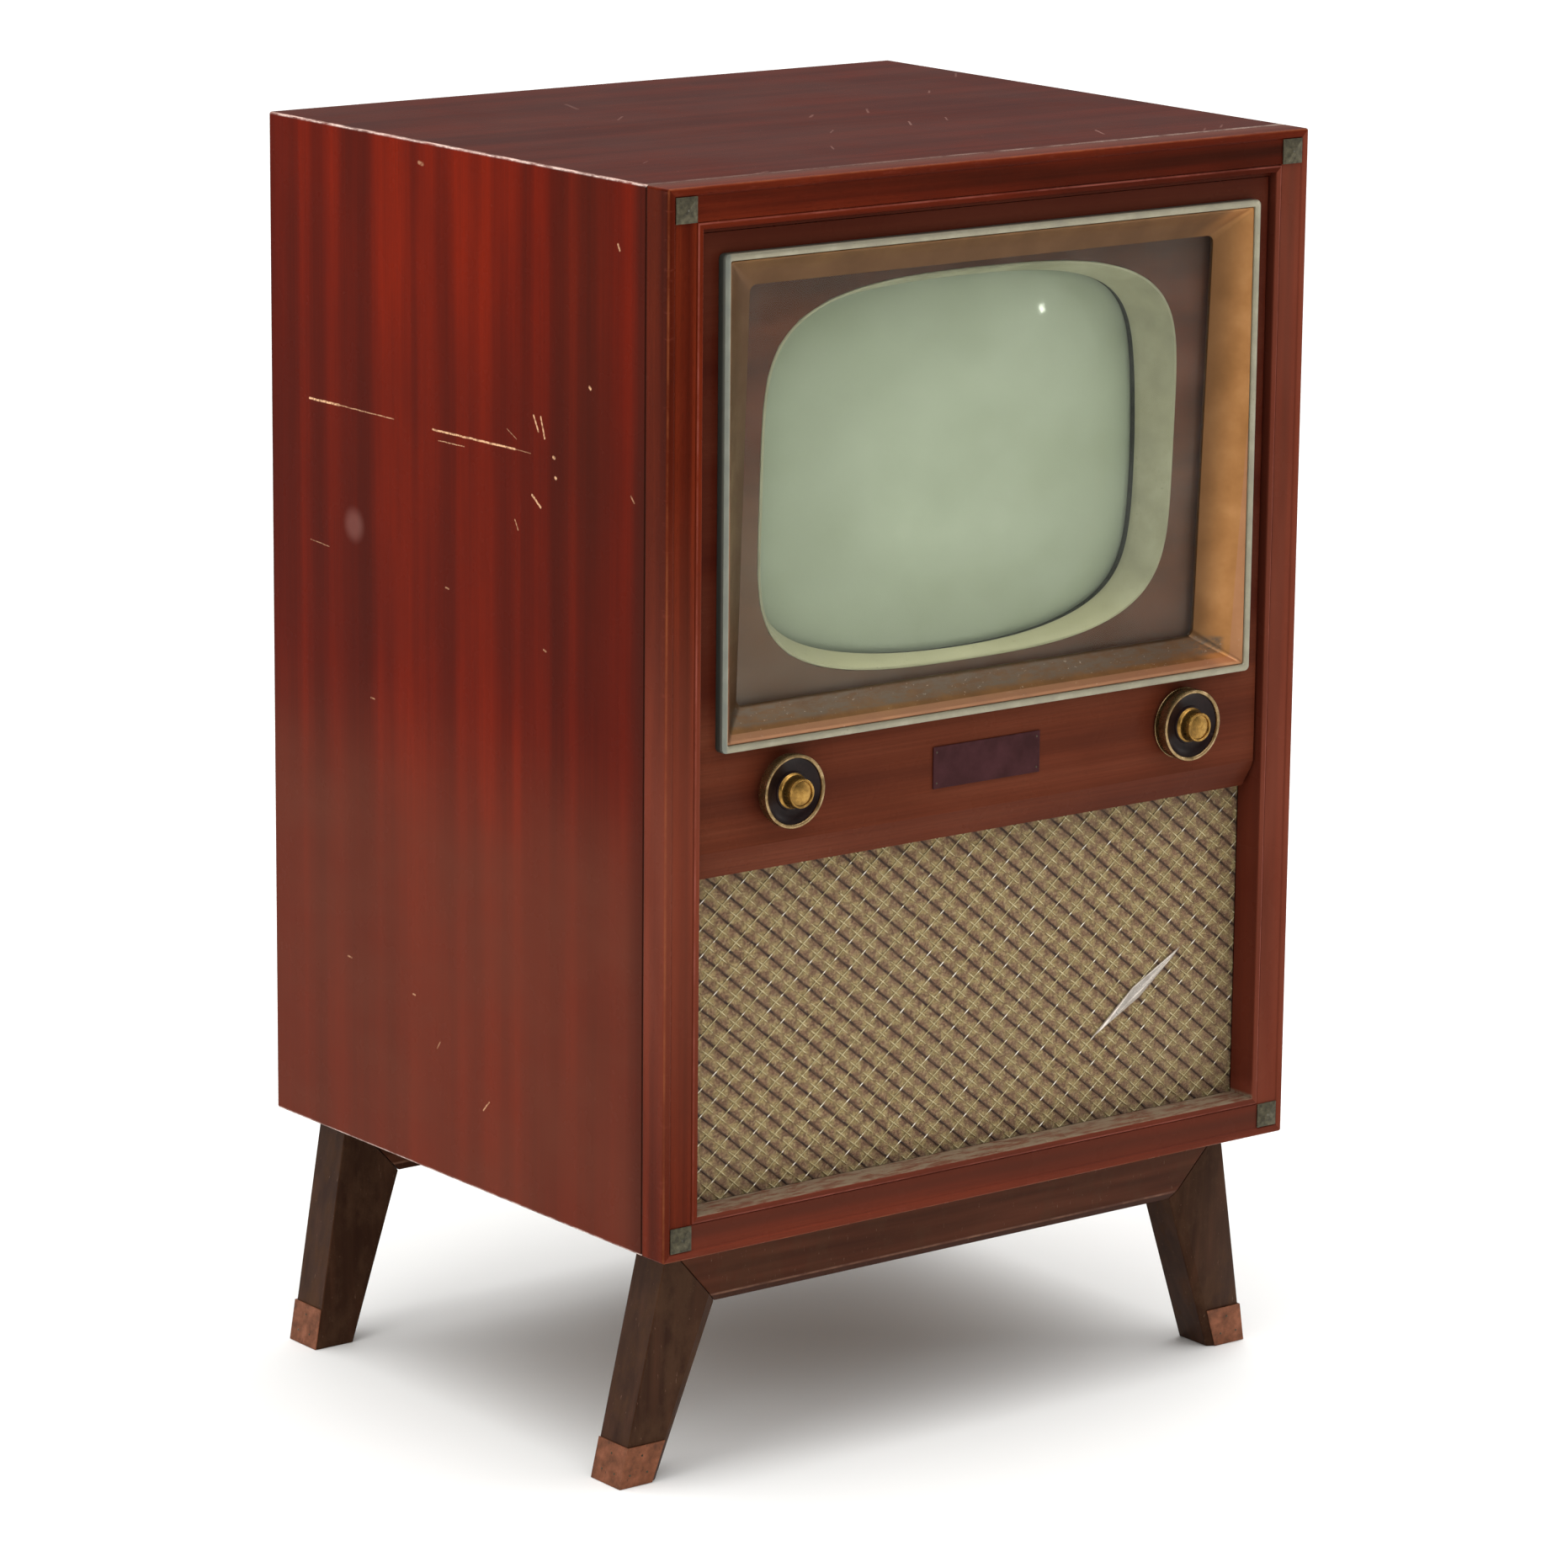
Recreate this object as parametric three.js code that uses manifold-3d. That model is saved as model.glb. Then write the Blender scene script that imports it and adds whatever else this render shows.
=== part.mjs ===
// Console television cabinet of the middle 1950s: a veneered box on two splayed trestles, with the
// picture tube, chassis and loudspeaker inside it and four concentric control knobs in front.
// Millimetres, +Z up, front towards -Y, origin on the floor under the middle of the whole set.

import * as THREE from "three";
import { mergeVertices } from "three/addons/utils/BufferGeometryUtils.js";
import Module from "manifold-3d";

const wasm = await Module();
wasm.setup();

// ---------------------------------------------------------------- driving dimensions

const CABINET_WIDTH = 611;
const CABINET_HEIGHT = 800;
const CABINET_DEPTH = 520;
const BASE_HEIGHT = 187;
const BOARD = 18; // thickness of the cabinet's veneered boards
const GAP = 0.3; // clearance between pieces that touch
const KNOB_REACH = 18; // how far the front buttons stand in front of the cabinet

const HALF_WIDTH = CABINET_WIDTH / 2;
const INNER_HALF_WIDTH = HALF_WIDTH - BOARD;

// Front frame: four mitred mouldings round the whole front.
const FRAME_DEPTH = 27;
const FRAME_WIDTH = 32;
const OUTER_BEAD = 6.5;
const INNER_BEAD = 5.5;
const FIELD_DEPTH = 1; // how far the flat field lies behind the beads
const STUD_SIZE = FRAME_WIDTH - OUTER_BEAD - INNER_BEAD - 0.8;

// Front panel, the board that carries the screen surround and the knobs.
const PANEL_FRONT = 6;
const PANEL_BACK = 24;
const PANEL_BOTTOM = 285;
const PANEL_REVEAL = 3.2;
const CHAMFER_HEIGHT = 21;
const CHAMFER_DEPTH = 8;
const HIP_WIDTH = 14;
const WINDOW_CUT_HALF_WIDTH = 250; // the opening behind the screen surround
const KNOB_HOLE_RADIUS = 7;
const PLATE = { halfWidth: 51.7, bottom: 326.3, top: 358.6, thickness: 1.2 };

// Screen surround: trim, sloping liner, glass and mask. The glass and mask lean forward at the top.
const SCREEN_Z = 565.2;
const TRIM_HALF_WIDTH = 256;
const TRIM_HALF_HEIGHT = 184;
const TRIM_FACE = 5.5;
const TRIM_FRONT = -2.6;
const TRIM_SHEET = 1.2;
const LINER_SHEET = 1.6;
const LINER_RETURN = 3; // flat edge of the liner that the glass bears on
const WINDOW_HALF_WIDTH = 222;
const WINDOW_HALF_HEIGHT = 157.3;
const LINER_BACK = 19.6; // at the middle of the window
const SCREEN_LEAN = 0.041; // mm forward for each mm up
const GLASS = { halfWidth: 233, halfHeight: 168, thickness: 4.5 };
const MASK = { halfWidth: 241, halfHeight: 174, thickness: 3, clearance: 2.4 };
const MASK_FRONT = 28.9;

// Picture tube, a rectangular 17 inch type. Ovals are |x/a|^p + |z/b|^q = 1.
const FACE_RADIUS = 686;
const FACE_FRONT = 35;
const FACE_OVAL = { a: 181, b: 142, p: 2.3, q: 6.4 };
const HALO_OVAL = { a: 197.6, b: 148.6, p: 3, q: 5 };
const BULB_OVAL = { a: 199, b: 157, p: 3.2, q: 5 };
const HALO_SHEET = 2;
const GASKET_DEPTH = 8;
const GASKET_WIDTH = 9;
const NECK_RADIUS = 18.3;
const NECK_WALL = 2.5;
const NECK_START = 282;
const TUBE_LENGTH = 395;
const TUBE_WALL = 6;
const OVAL_STEPS = 48;

// Control knobs.
const KNOB_X = 193.3;
const KNOB_Z = 346.5;
const DISC_RADIUS = 28;
const DISC_FRONT = -9.5;
const DISC_BACK = 0;
const HUB_FRONT = -4.6; // floor of the recess that the button turns in
const COLLAR_FRONT = -6.4; // edge of that recess
const SKIRT_BACK = COLLAR_FRONT - GAP;
const BUTTON_RADIUS = 11.3;
const SKIRT_RADIUS = 13.6; // the button flares out to this in front of the recess
const OUTER_SHAFT_RADIUS = 3.17;
const INNER_SHAFT_RADIUS = 1.6;
const SHAFT_END = 58;
const BUTTON_FACE = 3; // thickness of the button's front
const BUSHING_RADIUS = 5.5;

// Grille and loudspeaker.
const SPEAKER_Z = 155;
const BOARD_FRONT = 29.6;
const BOARD_BACK = 41.6;
const CLOTH_THICKNESS = 1.6;
const SPEAKER_OPENING = 88;
const SPEAKER_RADIUS = 101;
const SPEAKER_DEPTH = 60; // from the flange's front to the back of the basket
const MAGNET = { radius: 34, depth: 22, bevel: 4 };
const ORNAMENT = { x: 172.5, z: 129, halfLength: 54, halfHeight: 5.5, slant: 0.595 };

// Chassis and what stands on it.
const SHELF_Z = 303;
const SHELF_THICKNESS = 12;
const CHASSIS = { x: 255, front: 180, back: 470, bottom: 315.3, top: 370 };
const CHASSIS_SHEET = 1.5;
const TRANSFORMER = { x: -190, y: 405, halfWidth: 48, halfDepth: 43, height: 82 };
const CAGE = { x0: 128, x1: 248, y0: 330, y1: 455, height: 118 };
const VACUUM_TUBE = { x: -70, y: 400 };
const TUNER_BOX = { halfWidth: 38, front: 48, back: 160, top: 34 };

// Back cover.
const COVER_FRONT = 512;
const COVER_BACK = 515.2;
const REAR_KNOB_Z = 345;
const REAR_KNOB_SPACING = 62;
const REAR_KNOB_END = 519.2;
const REAR_KNOB_RADIUS = 8;
const VENT = { width: 46, height: 8, spacing: 70, rows: [700, 650, 600, 235, 185] };
const INLET = { x: -190, halfWidth: 16.5, halfHeight: 10, front: 498, proud: 3 };
const AERIAL_STRIP = { x0: 150, x1: 222, z0: 418, z1: 446, thickness: 3.3 };

// Base: two trestles, each a rail and two splayed, tapered legs.
const FOOT_OUTER = 310.1;
const FOOT_INNER = 281;
const LEG_TOP_OUTER = 273;
const ELBOW = { x: 232.5, z: 141.5 }; // inner corner between leg and rail
const LEG_DEPTH = 36;
const TRESTLE_TOP_Y = 37;
const TRESTLE_FOOT_Y = 46.3;
const BEVEL = { width: 6.8, drop: 7.5, depth: 3 };
const SABOT_HEIGHT = 32;
const SABOT_SHEET = 1;

// ---------------------------------------------------------------- geometry helpers

const point = (x, y, z) => new THREE.Vector3(x, y, z);

// Box from its lowest to its highest corner.
function block(x0, x1, y0, y1, z0, z1) {
  const box = new THREE.BoxGeometry(x1 - x0, y1 - y0, z1 - z0);
  return box.translate((x0 + x1) / 2, (y0 + y1) / 2, (z0 + z1) / 2);
}

// Shape drawn in the X-Z plane, given thickness from y0 back to y1.
function slab(shape, y0, y1, curveSegments = 12) {
  const options = { depth: y1 - y0, bevelEnabled: false, curveSegments };
  return new THREE.ExtrudeGeometry(shape, options).rotateX(Math.PI / 2).translate(0, y1, 0);
}

function polygon(...corners) {
  return new THREE.Shape(corners.map(([x, z]) => new THREE.Vector2(x, z)));
}

// Closed geometry with its faces turned outwards, whichever way round it was built.
function outward(geometry) {
  const at = geometry.getAttribute("position");
  const index = geometry.index.array;
  const corner = (i) => point(at.getX(index[i]), at.getY(index[i]), at.getZ(index[i]));
  let volume = 0;
  for (let i = 0; i < index.length; i += 3) {
    volume += corner(i).dot(corner(i + 1).cross(corner(i + 2)));
  }
  if (volume < 0) index.reverse();
  return geometry;
}

// Round body about an axis along Y: the profile is a list of [radius, y].
function turned(profile, segments = 32) {
  const outline = profile.map(([radius, y]) => new THREE.Vector2(radius, y));
  return outward(new THREE.LatheGeometry(outline, segments));
}

// Plain round rod along Y from y0 back to y1.
function rod(radius, y0, y1, segments) {
  return turned([[0, y0], [radius, y0], [radius, y1], [0, y1]], segments);
}

// Tube along Y from y0 back to y1.
function sleeve(inner, outer, y0, y1, segments) {
  return turned([[inner, y0], [outer, y0], [outer, y1], [inner, y1], [inner, y0]], segments);
}

// Body about a vertical axis, with the profile as a list of [radius, z].
function turnedUpright(profile, segments = 24) {
  return turned(profile, segments).rotateX(Math.PI / 2);
}

// Skin over sections with the same number of points. A closed skin runs from the last section back
// to the first; an open one ends in flat caps, or in a point where a pole is given.
function skin(sections, { closed = false, startPole = null, endPole = null } = {}) {
  const count = sections[0].length;
  const vertices = sections.flat();
  const faces = [];
  const bands = closed ? sections.length : sections.length - 1;
  for (let s = 0; s < bands; s++) {
    const here = s * count;
    const next = ((s + 1) % sections.length) * count;
    for (let i = 0; i < count; i++) {
      const j = (i + 1) % count;
      faces.push(here + i, here + j, next + j, here + i, next + j, next + i);
    }
  }
  const cap = (first, pole, turn) => {
    const apex = vertices.length;
    if (pole) {
      vertices.push(pole);
      for (let i = 0; i < count; i++) {
        const pair = [first + ((i + 1) % count), first + i];
        faces.push(apex, ...(turn ? pair.reverse() : pair));
      }
      return;
    }
    const loop = vertices.slice(first, first + count);
    for (const face of THREE.ShapeUtils.triangulateShape(flatten(loop), [])) {
      const corners = face.map((i) => first + i);
      faces.push(...(turn ? corners : corners.reverse()));
    }
  };
  if (!closed) {
    cap(0, startPole, false);
    cap((sections.length - 1) * count, endPole, true);
  }
  const positions = vertices.flatMap((v) => [v.x, v.y, v.z]);
  const geometry = new THREE.BufferGeometry();
  geometry.setAttribute("position", new THREE.Float32BufferAttribute(positions, 3));
  geometry.setIndex(faces);
  return outward(geometry);
}

// Loop of points seen along its own normal, wound as it stands in space.
function flatten(loop) {
  const normal = point(0, 0, 0);
  loop.forEach((p, i) => normal.add(p.clone().cross(loop[(i + 1) % loop.length])));
  normal.normalize();
  const across = loop[1].clone().sub(loop[0]).normalize();
  const up = normal.clone().cross(across);
  return loop.map((p) => new THREE.Vector2(p.dot(across), p.dot(up)));
}

// Closed geometry as a solid that can be joined and cut.
function solid(geometry) {
  const bare = new THREE.BufferGeometry();
  bare.setAttribute("position", geometry.getAttribute("position"));
  bare.setIndex(geometry.index);
  const merged = mergeVertices(bare, 1e-4);
  const triVerts = new Uint32Array(merged.index.array);
  const vertProperties = merged.attributes.position.array;
  return new wasm.Manifold(new wasm.Mesh({ numProp: 3, vertProperties, triVerts }));
}

function geometryOf(body) {
  const mesh = body.getMesh();
  const geometry = new THREE.BufferGeometry();
  geometry.setAttribute("position", new THREE.BufferAttribute(mesh.vertProperties, 3));
  geometry.setIndex(new THREE.BufferAttribute(mesh.triVerts, 1));
  geometry.computeVertexNormals();
  return geometry;
}

// One geometry joined from several, less what the cutting geometries take away.
function carve(parts, cuts = []) {
  let body = parts.map(solid).reduce((a, b) => a.add(b));
  for (const cut of cuts) body = body.subtract(solid(cut));
  return geometryOf(body);
}

// Point of an oval in the direction (a cos, b sin), found by halving the range of its distance.
function oval({ a, b, p, q }, angle) {
  const c = Math.cos(angle);
  const s = Math.sin(angle);
  let inside = 1;
  let outside = Math.SQRT2;
  for (let i = 0; i < 30; i++) {
    const middle = (inside + outside) / 2;
    if (Math.abs(middle * c) ** p + Math.abs(middle * s) ** q > 1) outside = middle;
    else inside = middle;
  }
  return [a * c * inside, b * s * inside];
}

const grown = (shape, by) => ({ ...shape, a: shape.a + by, b: shape.b + by });

const ovalAngles = Array.from({ length: OVAL_STEPS }, (_, i) => (i * 2 * Math.PI) / OVAL_STEPS);

// Depth of the tube's spherical face at a place measured from its middle.
const faceDepth = (x, z) =>
  FACE_FRONT + FACE_RADIUS - Math.sqrt(FACE_RADIUS ** 2 - x * x - z * z);

// Depth of a plane that leans with the glass, given its depth at the middle of the screen.
const leaning = (middle, z) => middle - (z - SCREEN_Z) * SCREEN_LEAN;

// ---------------------------------------------------------------- finishes

const finish = (color, roughness, metalness = 0) => ({ color, roughness, metalness });

const MAHOGANY = finish(0x7a2418, 0.32);
const TOP_MAHOGANY = finish(0x5f2f2b, 0.35);
const FRAME_MAHOGANY = finish(0x6b271c, 0.35);
const RAW_WOOD = finish(0xa98a62, 0.85);
const BASE_WOOD = finish(0x45261f, 0.5);
const ANTIQUE_BRASS = finish(0x6b6548, 0.45, 0.8);
const POLISHED_BRASS = finish(0xb08d4e, 0.28, 0.9);
const COPPER = finish(0x7d4830, 0.45, 0.7);
const TRIM_METAL = finish(0xa7a888, 0.3, 0.8);
const GOLD_PAINT = finish(0xa0764a, 0.5, 0.3);
const MASK_BROWN = finish(0x63473f, 0.75);
const HALO_GREEN = finish(0xa8a88c, 0.6);
const TUBE_GLASS = finish(0x8f9e85, 0.12);
const CLEAR_GLASS = finish(0xe8eee8, 0.04);
const RUBBER = finish(0x24241f, 0.8);
const DISC_PLASTIC = finish(0x2e2226, 0.2);
const PLATE_PLUM = finish(0x3c1f26, 0.4);
const GRILLE_CLOTH = finish(0x8a744e, 0.9);
const STEEL = finish(0x8d8f8e, 0.4, 0.8);
const TIN_PLATE = finish(0x9fa09a, 0.45, 0.7);
const BLACK_PAINT = finish(0x1f1f20, 0.6);
const PAPER = finish(0x3b362e, 0.95);
const BAKELITE = finish(0x2b1a12, 0.35);
const HARDBOARD = finish(0x5a4431, 0.9);

const cabinet = new THREE.Group();
const base = new THREE.Group();
const tilted = new THREE.Group();

function add(group, name, geometry, look) {
  const mesh = new THREE.Mesh(geometry, new THREE.MeshStandardMaterial(look));
  mesh.name = name;
  group.add(mesh);
  return mesh;
}

const SIDES = [
  ["left", -1],
  ["right", 1],
];

// ---------------------------------------------------------------- cabinet boards

// Four boards joined by mitres, behind the front frame.
function addCarcass() {
  const front = FRAME_DEPTH + GAP;
  const mitreGap = GAP * Math.SQRT2;
  const lid = HALF_WIDTH - mitreGap;
  const inner = INNER_HALF_WIDTH - mitreGap;
  for (const [side, sign] of SIDES) {
    const outline = polygon(
      [sign * HALF_WIDTH, 0],
      [sign * HALF_WIDTH, CABINET_HEIGHT],
      [sign * INNER_HALF_WIDTH, CABINET_HEIGHT - BOARD],
      [sign * INNER_HALF_WIDTH, BOARD],
    );
    add(cabinet, `${side}_side_panel`, slab(outline, front, CABINET_DEPTH), MAHOGANY);
  }
  const across = (outerZ, innerZ) =>
    slab(
      polygon([-lid, outerZ], [lid, outerZ], [inner, innerZ], [-inner, innerZ]),
      front,
      CABINET_DEPTH,
    );
  add(cabinet, "top_panel", across(CABINET_HEIGHT, CABINET_HEIGHT - BOARD), TOP_MAHOGANY);
  add(cabinet, "bottom_panel", across(0, BOARD), RAW_WOOD);
}

// ---------------------------------------------------------------- front frame

// Section of the frame moulding: [distance in from the outer edge, depth behind the front].
const MOULDING = [
  [0, FRAME_DEPTH],
  [0, 1.2],
  [0.4, 0.35],
  [1.2, 0],
  [OUTER_BEAD - 1.2, 0],
  [OUTER_BEAD - 0.4, FIELD_DEPTH + 0.6],
  [OUTER_BEAD + 0.2, FIELD_DEPTH],
  [FRAME_WIDTH - INNER_BEAD - 0.2, FIELD_DEPTH],
  [FRAME_WIDTH - INNER_BEAD + 0.4, FIELD_DEPTH + 0.6],
  [FRAME_WIDTH - INNER_BEAD + 1, FIELD_DEPTH - 0.3],
  [FRAME_WIDTH - 1, 0],
  [FRAME_WIDTH - 0.2, 0.4],
  [FRAME_WIDTH, 1.2],
  [FRAME_WIDTH, FRAME_DEPTH],
];

function addFrontFrame() {
  const mitreGap = GAP / Math.SQRT2;
  for (const [side, sign] of SIDES) {
    const end = (top) =>
      MOULDING.map(([u, y]) => {
        const z = u + mitreGap;
        return point(sign * (HALF_WIDTH - u), y, top ? CABINET_HEIGHT - z : z);
      });
    add(cabinet, `front_${side}_stile`, skin([end(false), end(true)]), FRAME_MAHOGANY);
  }
  for (const [rail, zOf] of [
    ["top", (u) => CABINET_HEIGHT - u],
    ["bottom", (u) => u],
  ]) {
    const end = (sign) =>
      MOULDING.map(([u, y]) => point(sign * (HALF_WIDTH - u - mitreGap), y, zOf(u)));
    add(cabinet, `front_${rail}_rail`, skin([end(-1), end(1)]), FRAME_MAHOGANY);
  }
}

// Square brass studs, low pyramids that sit in the field at each corner of the frame.
function addStuds() {
  const half = STUD_SIZE / 2;
  const inset = OUTER_BEAD + 0.4 + half;
  const square = (size, y) => [
    point(-size, y, -size),
    point(size, y, -size),
    point(size, y, size),
    point(-size, y, size),
  ];
  const backY = FIELD_DEPTH - GAP;
  const rings = [square(half, backY), square(half, -0.3), square(1, -2)];
  for (const [side, sign] of SIDES) {
    for (const [level, z] of [
      ["top", CABINET_HEIGHT - inset],
      ["bottom", inset],
    ]) {
      const stud = add(cabinet, `${level}_${side}_stud`, skin(rings), ANTIQUE_BRASS);
      stud.position.set(sign * (HALF_WIDTH - inset), 0, z);
    }
  }
}

// ---------------------------------------------------------------- front panel

function addFrontPanel() {
  const half = HALF_WIDTH - FRAME_WIDTH - PANEL_REVEAL;
  const top = CABINET_HEIGHT - FRAME_WIDTH - PANEL_REVEAL;
  const board = block(-half, half, PANEL_FRONT, PANEL_BACK, PANEL_BOTTOM, top);
  const chamfer = [-1, 1].map((end) => [
    point(end * HALF_WIDTH, PANEL_FRONT, PANEL_BOTTOM + CHAMFER_HEIGHT),
    point(end * HALF_WIDTH, PANEL_FRONT + CHAMFER_DEPTH, PANEL_BOTTOM),
    point(end * HALF_WIDTH, PANEL_FRONT + CHAMFER_DEPTH, PANEL_BOTTOM - CHAMFER_HEIGHT),
    point(end * HALF_WIDTH, 0, PANEL_BOTTOM - CHAMFER_HEIGHT),
    point(end * HALF_WIDTH, 0, PANEL_BOTTOM + CHAMFER_HEIGHT),
  ]);
  // Each end of the lower edge is cut away by a small hip that widens downwards.
  const hip = (sign) =>
    skin([
      [
        point(sign * (half + 1), PANEL_FRONT - 1, PANEL_BOTTOM + CHAMFER_HEIGHT + 1),
        point(sign * (half - HIP_WIDTH), PANEL_FRONT - 1, PANEL_BOTTOM - 1),
        point(sign * (half + 1), PANEL_FRONT - 1, PANEL_BOTTOM - 1),
      ],
      [
        point(sign * (half + 1), PANEL_FRONT + CHAMFER_DEPTH, PANEL_BOTTOM + CHAMFER_HEIGHT + 1),
        point(sign * (half - 2), PANEL_FRONT + CHAMFER_DEPTH + 3, PANEL_BOTTOM - 1),
        point(sign * (half + 1), PANEL_FRONT + CHAMFER_DEPTH + 3, PANEL_BOTTOM - 1),
      ],
    ]);
  const opening = WINDOW_CUT_HALF_WIDTH;
  const rise = TRIM_HALF_HEIGHT - (TRIM_HALF_WIDTH - opening);
  const window = block(-opening, opening, 0, PANEL_BACK + 1, SCREEN_Z - rise, SCREEN_Z + rise);
  const holes = SIDES.map(([, sign]) =>
    rod(KNOB_HOLE_RADIUS, 0, PANEL_BACK + 1, 24).translate(sign * KNOB_X, 0, KNOB_Z),
  );
  const cuts = [skin(chamfer), hip(-1), hip(1), window, ...holes];
  add(cabinet, "front_panel", carve([board], cuts), FRAME_MAHOGANY);

  const plateBack = PANEL_FRONT - GAP;
  const plateFront = plateBack - PLATE.thickness;
  const plate = block(-PLATE.halfWidth, PLATE.halfWidth, plateFront, plateBack, PLATE.bottom, PLATE.top);
  add(cabinet, "nameplate", plate, PLATE_PLUM);
}

// ---------------------------------------------------------------- screen surround

// Rectangular ring round the screen: the section lists [half width, depth, half height], and a
// depth can be a function of the height above the middle of the screen. Such a ring twists along
// its upright sides, so those take several steps.
function screenRing(section, steps = 1) {
  const depthAt = (depth, z) => (typeof depth === "function" ? depth(z) : depth);
  const place = (side, rise) =>
    section.map(([x, depth, h]) => point(side * x, depthAt(depth, rise * h), SCREEN_Z + rise * h));
  const rises = Array.from({ length: steps + 1 }, (_, i) => (2 * i) / steps - 1);
  const right = rises.map((rise) => place(1, rise));
  const left = rises.map((rise) => place(-1, -rise));
  return skin([...right, ...left], { closed: true });
}

function addScreenSurround() {
  const w = TRIM_HALF_WIDTH;
  const h = TRIM_HALF_HEIGHT;
  const back = PANEL_FRONT - GAP;
  const trim = [
    [w, TRIM_FRONT + 1, h],
    [w - 1, TRIM_FRONT, h - 1],
    [w - TRIM_FACE, TRIM_FRONT, h - TRIM_FACE],
    [w - TRIM_FACE, TRIM_FRONT + TRIM_SHEET, h - TRIM_FACE],
    [w - TRIM_SHEET, TRIM_FRONT + TRIM_SHEET, h - TRIM_SHEET],
    [w - TRIM_SHEET, back, h - TRIM_SHEET],
    [w, back, h],
  ];
  add(cabinet, "bezel_trim", screenRing(trim), TRIM_METAL);

  const lipFront = TRIM_FRONT + TRIM_SHEET + GAP;
  const edge = TRIM_SHEET + GAP;
  const backAt = (z) => leaning(LINER_BACK, SCREEN_Z + z);
  const liner = [
    [w - edge, lipFront, h - edge],
    [w - TRIM_FACE, lipFront, h - TRIM_FACE],
    [WINDOW_HALF_WIDTH, backAt, WINDOW_HALF_HEIGHT],
    [WINDOW_HALF_WIDTH + LINER_RETURN, backAt, WINDOW_HALF_HEIGHT + LINER_RETURN],
    [w - TRIM_FACE, lipFront + LINER_SHEET, h - TRIM_FACE],
    [w - edge, lipFront + LINER_SHEET, h - edge],
  ];
  add(cabinet, "bezel_liner", screenRing(liner, 12), GOLD_PAINT);
}

// The safety glass and the mask behind it hang in a group that leans with them. Depths in this
// group are measured from the front of the mask.
function addGlassAndMask() {
  const front = LINER_BACK + 0.5 - MASK_FRONT;
  const back = front + GLASS.thickness;
  const { halfWidth, halfHeight } = GLASS;
  const glass = block(-halfWidth, halfWidth, front, back, -halfHeight, halfHeight);
  add(tilted, "safety_glass", glass, CLEAR_GLASS);

  const w = MASK.halfWidth;
  const h = MASK.halfHeight;
  const board = polygon([-w, -h], [w, -h], [w, h], [-w, h]);
  const hole = ovalAngles.map((angle) => {
    const [x, z] = oval(grown(HALO_OVAL, MASK.clearance), angle);
    return new THREE.Vector2(x, z);
  });
  board.holes.push(new THREE.Path(hole));
  add(tilted, "screen_mask", slab(board, 0, MASK.thickness), MASK_BROWN);
}

// ---------------------------------------------------------------- picture tube

// Ring that runs from the mask back towards the tube's curved face.
function addHalo() {
  const sections = ovalAngles.map((angle) => {
    const rim = (by) => oval(grown(HALO_OVAL, by), angle);
    const mouth = (by) => oval(grown(FACE_OVAL, by), angle);
    const front = (by) => {
      const [x, z] = rim(by);
      return point(x, leaning(MASK_FRONT - 0.6, SCREEN_Z + z), z);
    };
    const back = (by) => {
      const [x, z] = mouth(by);
      return point(x, faceDepth(x, z) - GASKET_DEPTH, z);
    };
    return [front(0), front(HALO_SHEET), back(HALO_SHEET), back(0)];
  });
  const halo = add(cabinet, "halo_ring", skin(sections, { closed: true }), HALO_GREEN);
  halo.position.z = SCREEN_Z;

  const gasketSections = ovalAngles.map((angle) => {
    const at = (by, lift) => {
      const [x, z] = oval(grown(FACE_OVAL, by), angle);
      return point(x, faceDepth(x, z) - lift, z);
    };
    const inner = 2 * GAP;
    const front = GASKET_DEPTH - GAP;
    const back = 2 * GAP;
    return [at(inner, front), at(GASKET_WIDTH, front), at(GASKET_WIDTH, back), at(inner, back)];
  });
  const gasket = add(cabinet, "tube_gasket", skin(gasketSections, { closed: true }), RUBBER);
  gasket.position.z = SCREEN_Z;
}

// Section of the bulb as [share of the oval, radius of the circle it turns into, depth].
const FACE_SHARES = [0.3, 0.6, 0.85, 0.955];
const FUNNEL = [
  { share: 1, circle: 0, depth: 84 },
  { share: 1, circle: 0, depth: 98 },
  { share: 0.86, circle: 0.1, depth: 132 },
  { share: 0.62, circle: 0.3, depth: 180 },
  { share: 0.36, circle: 0.6, depth: 228 },
  { share: 0.16, circle: 0.9, depth: 262 },
];

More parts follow.
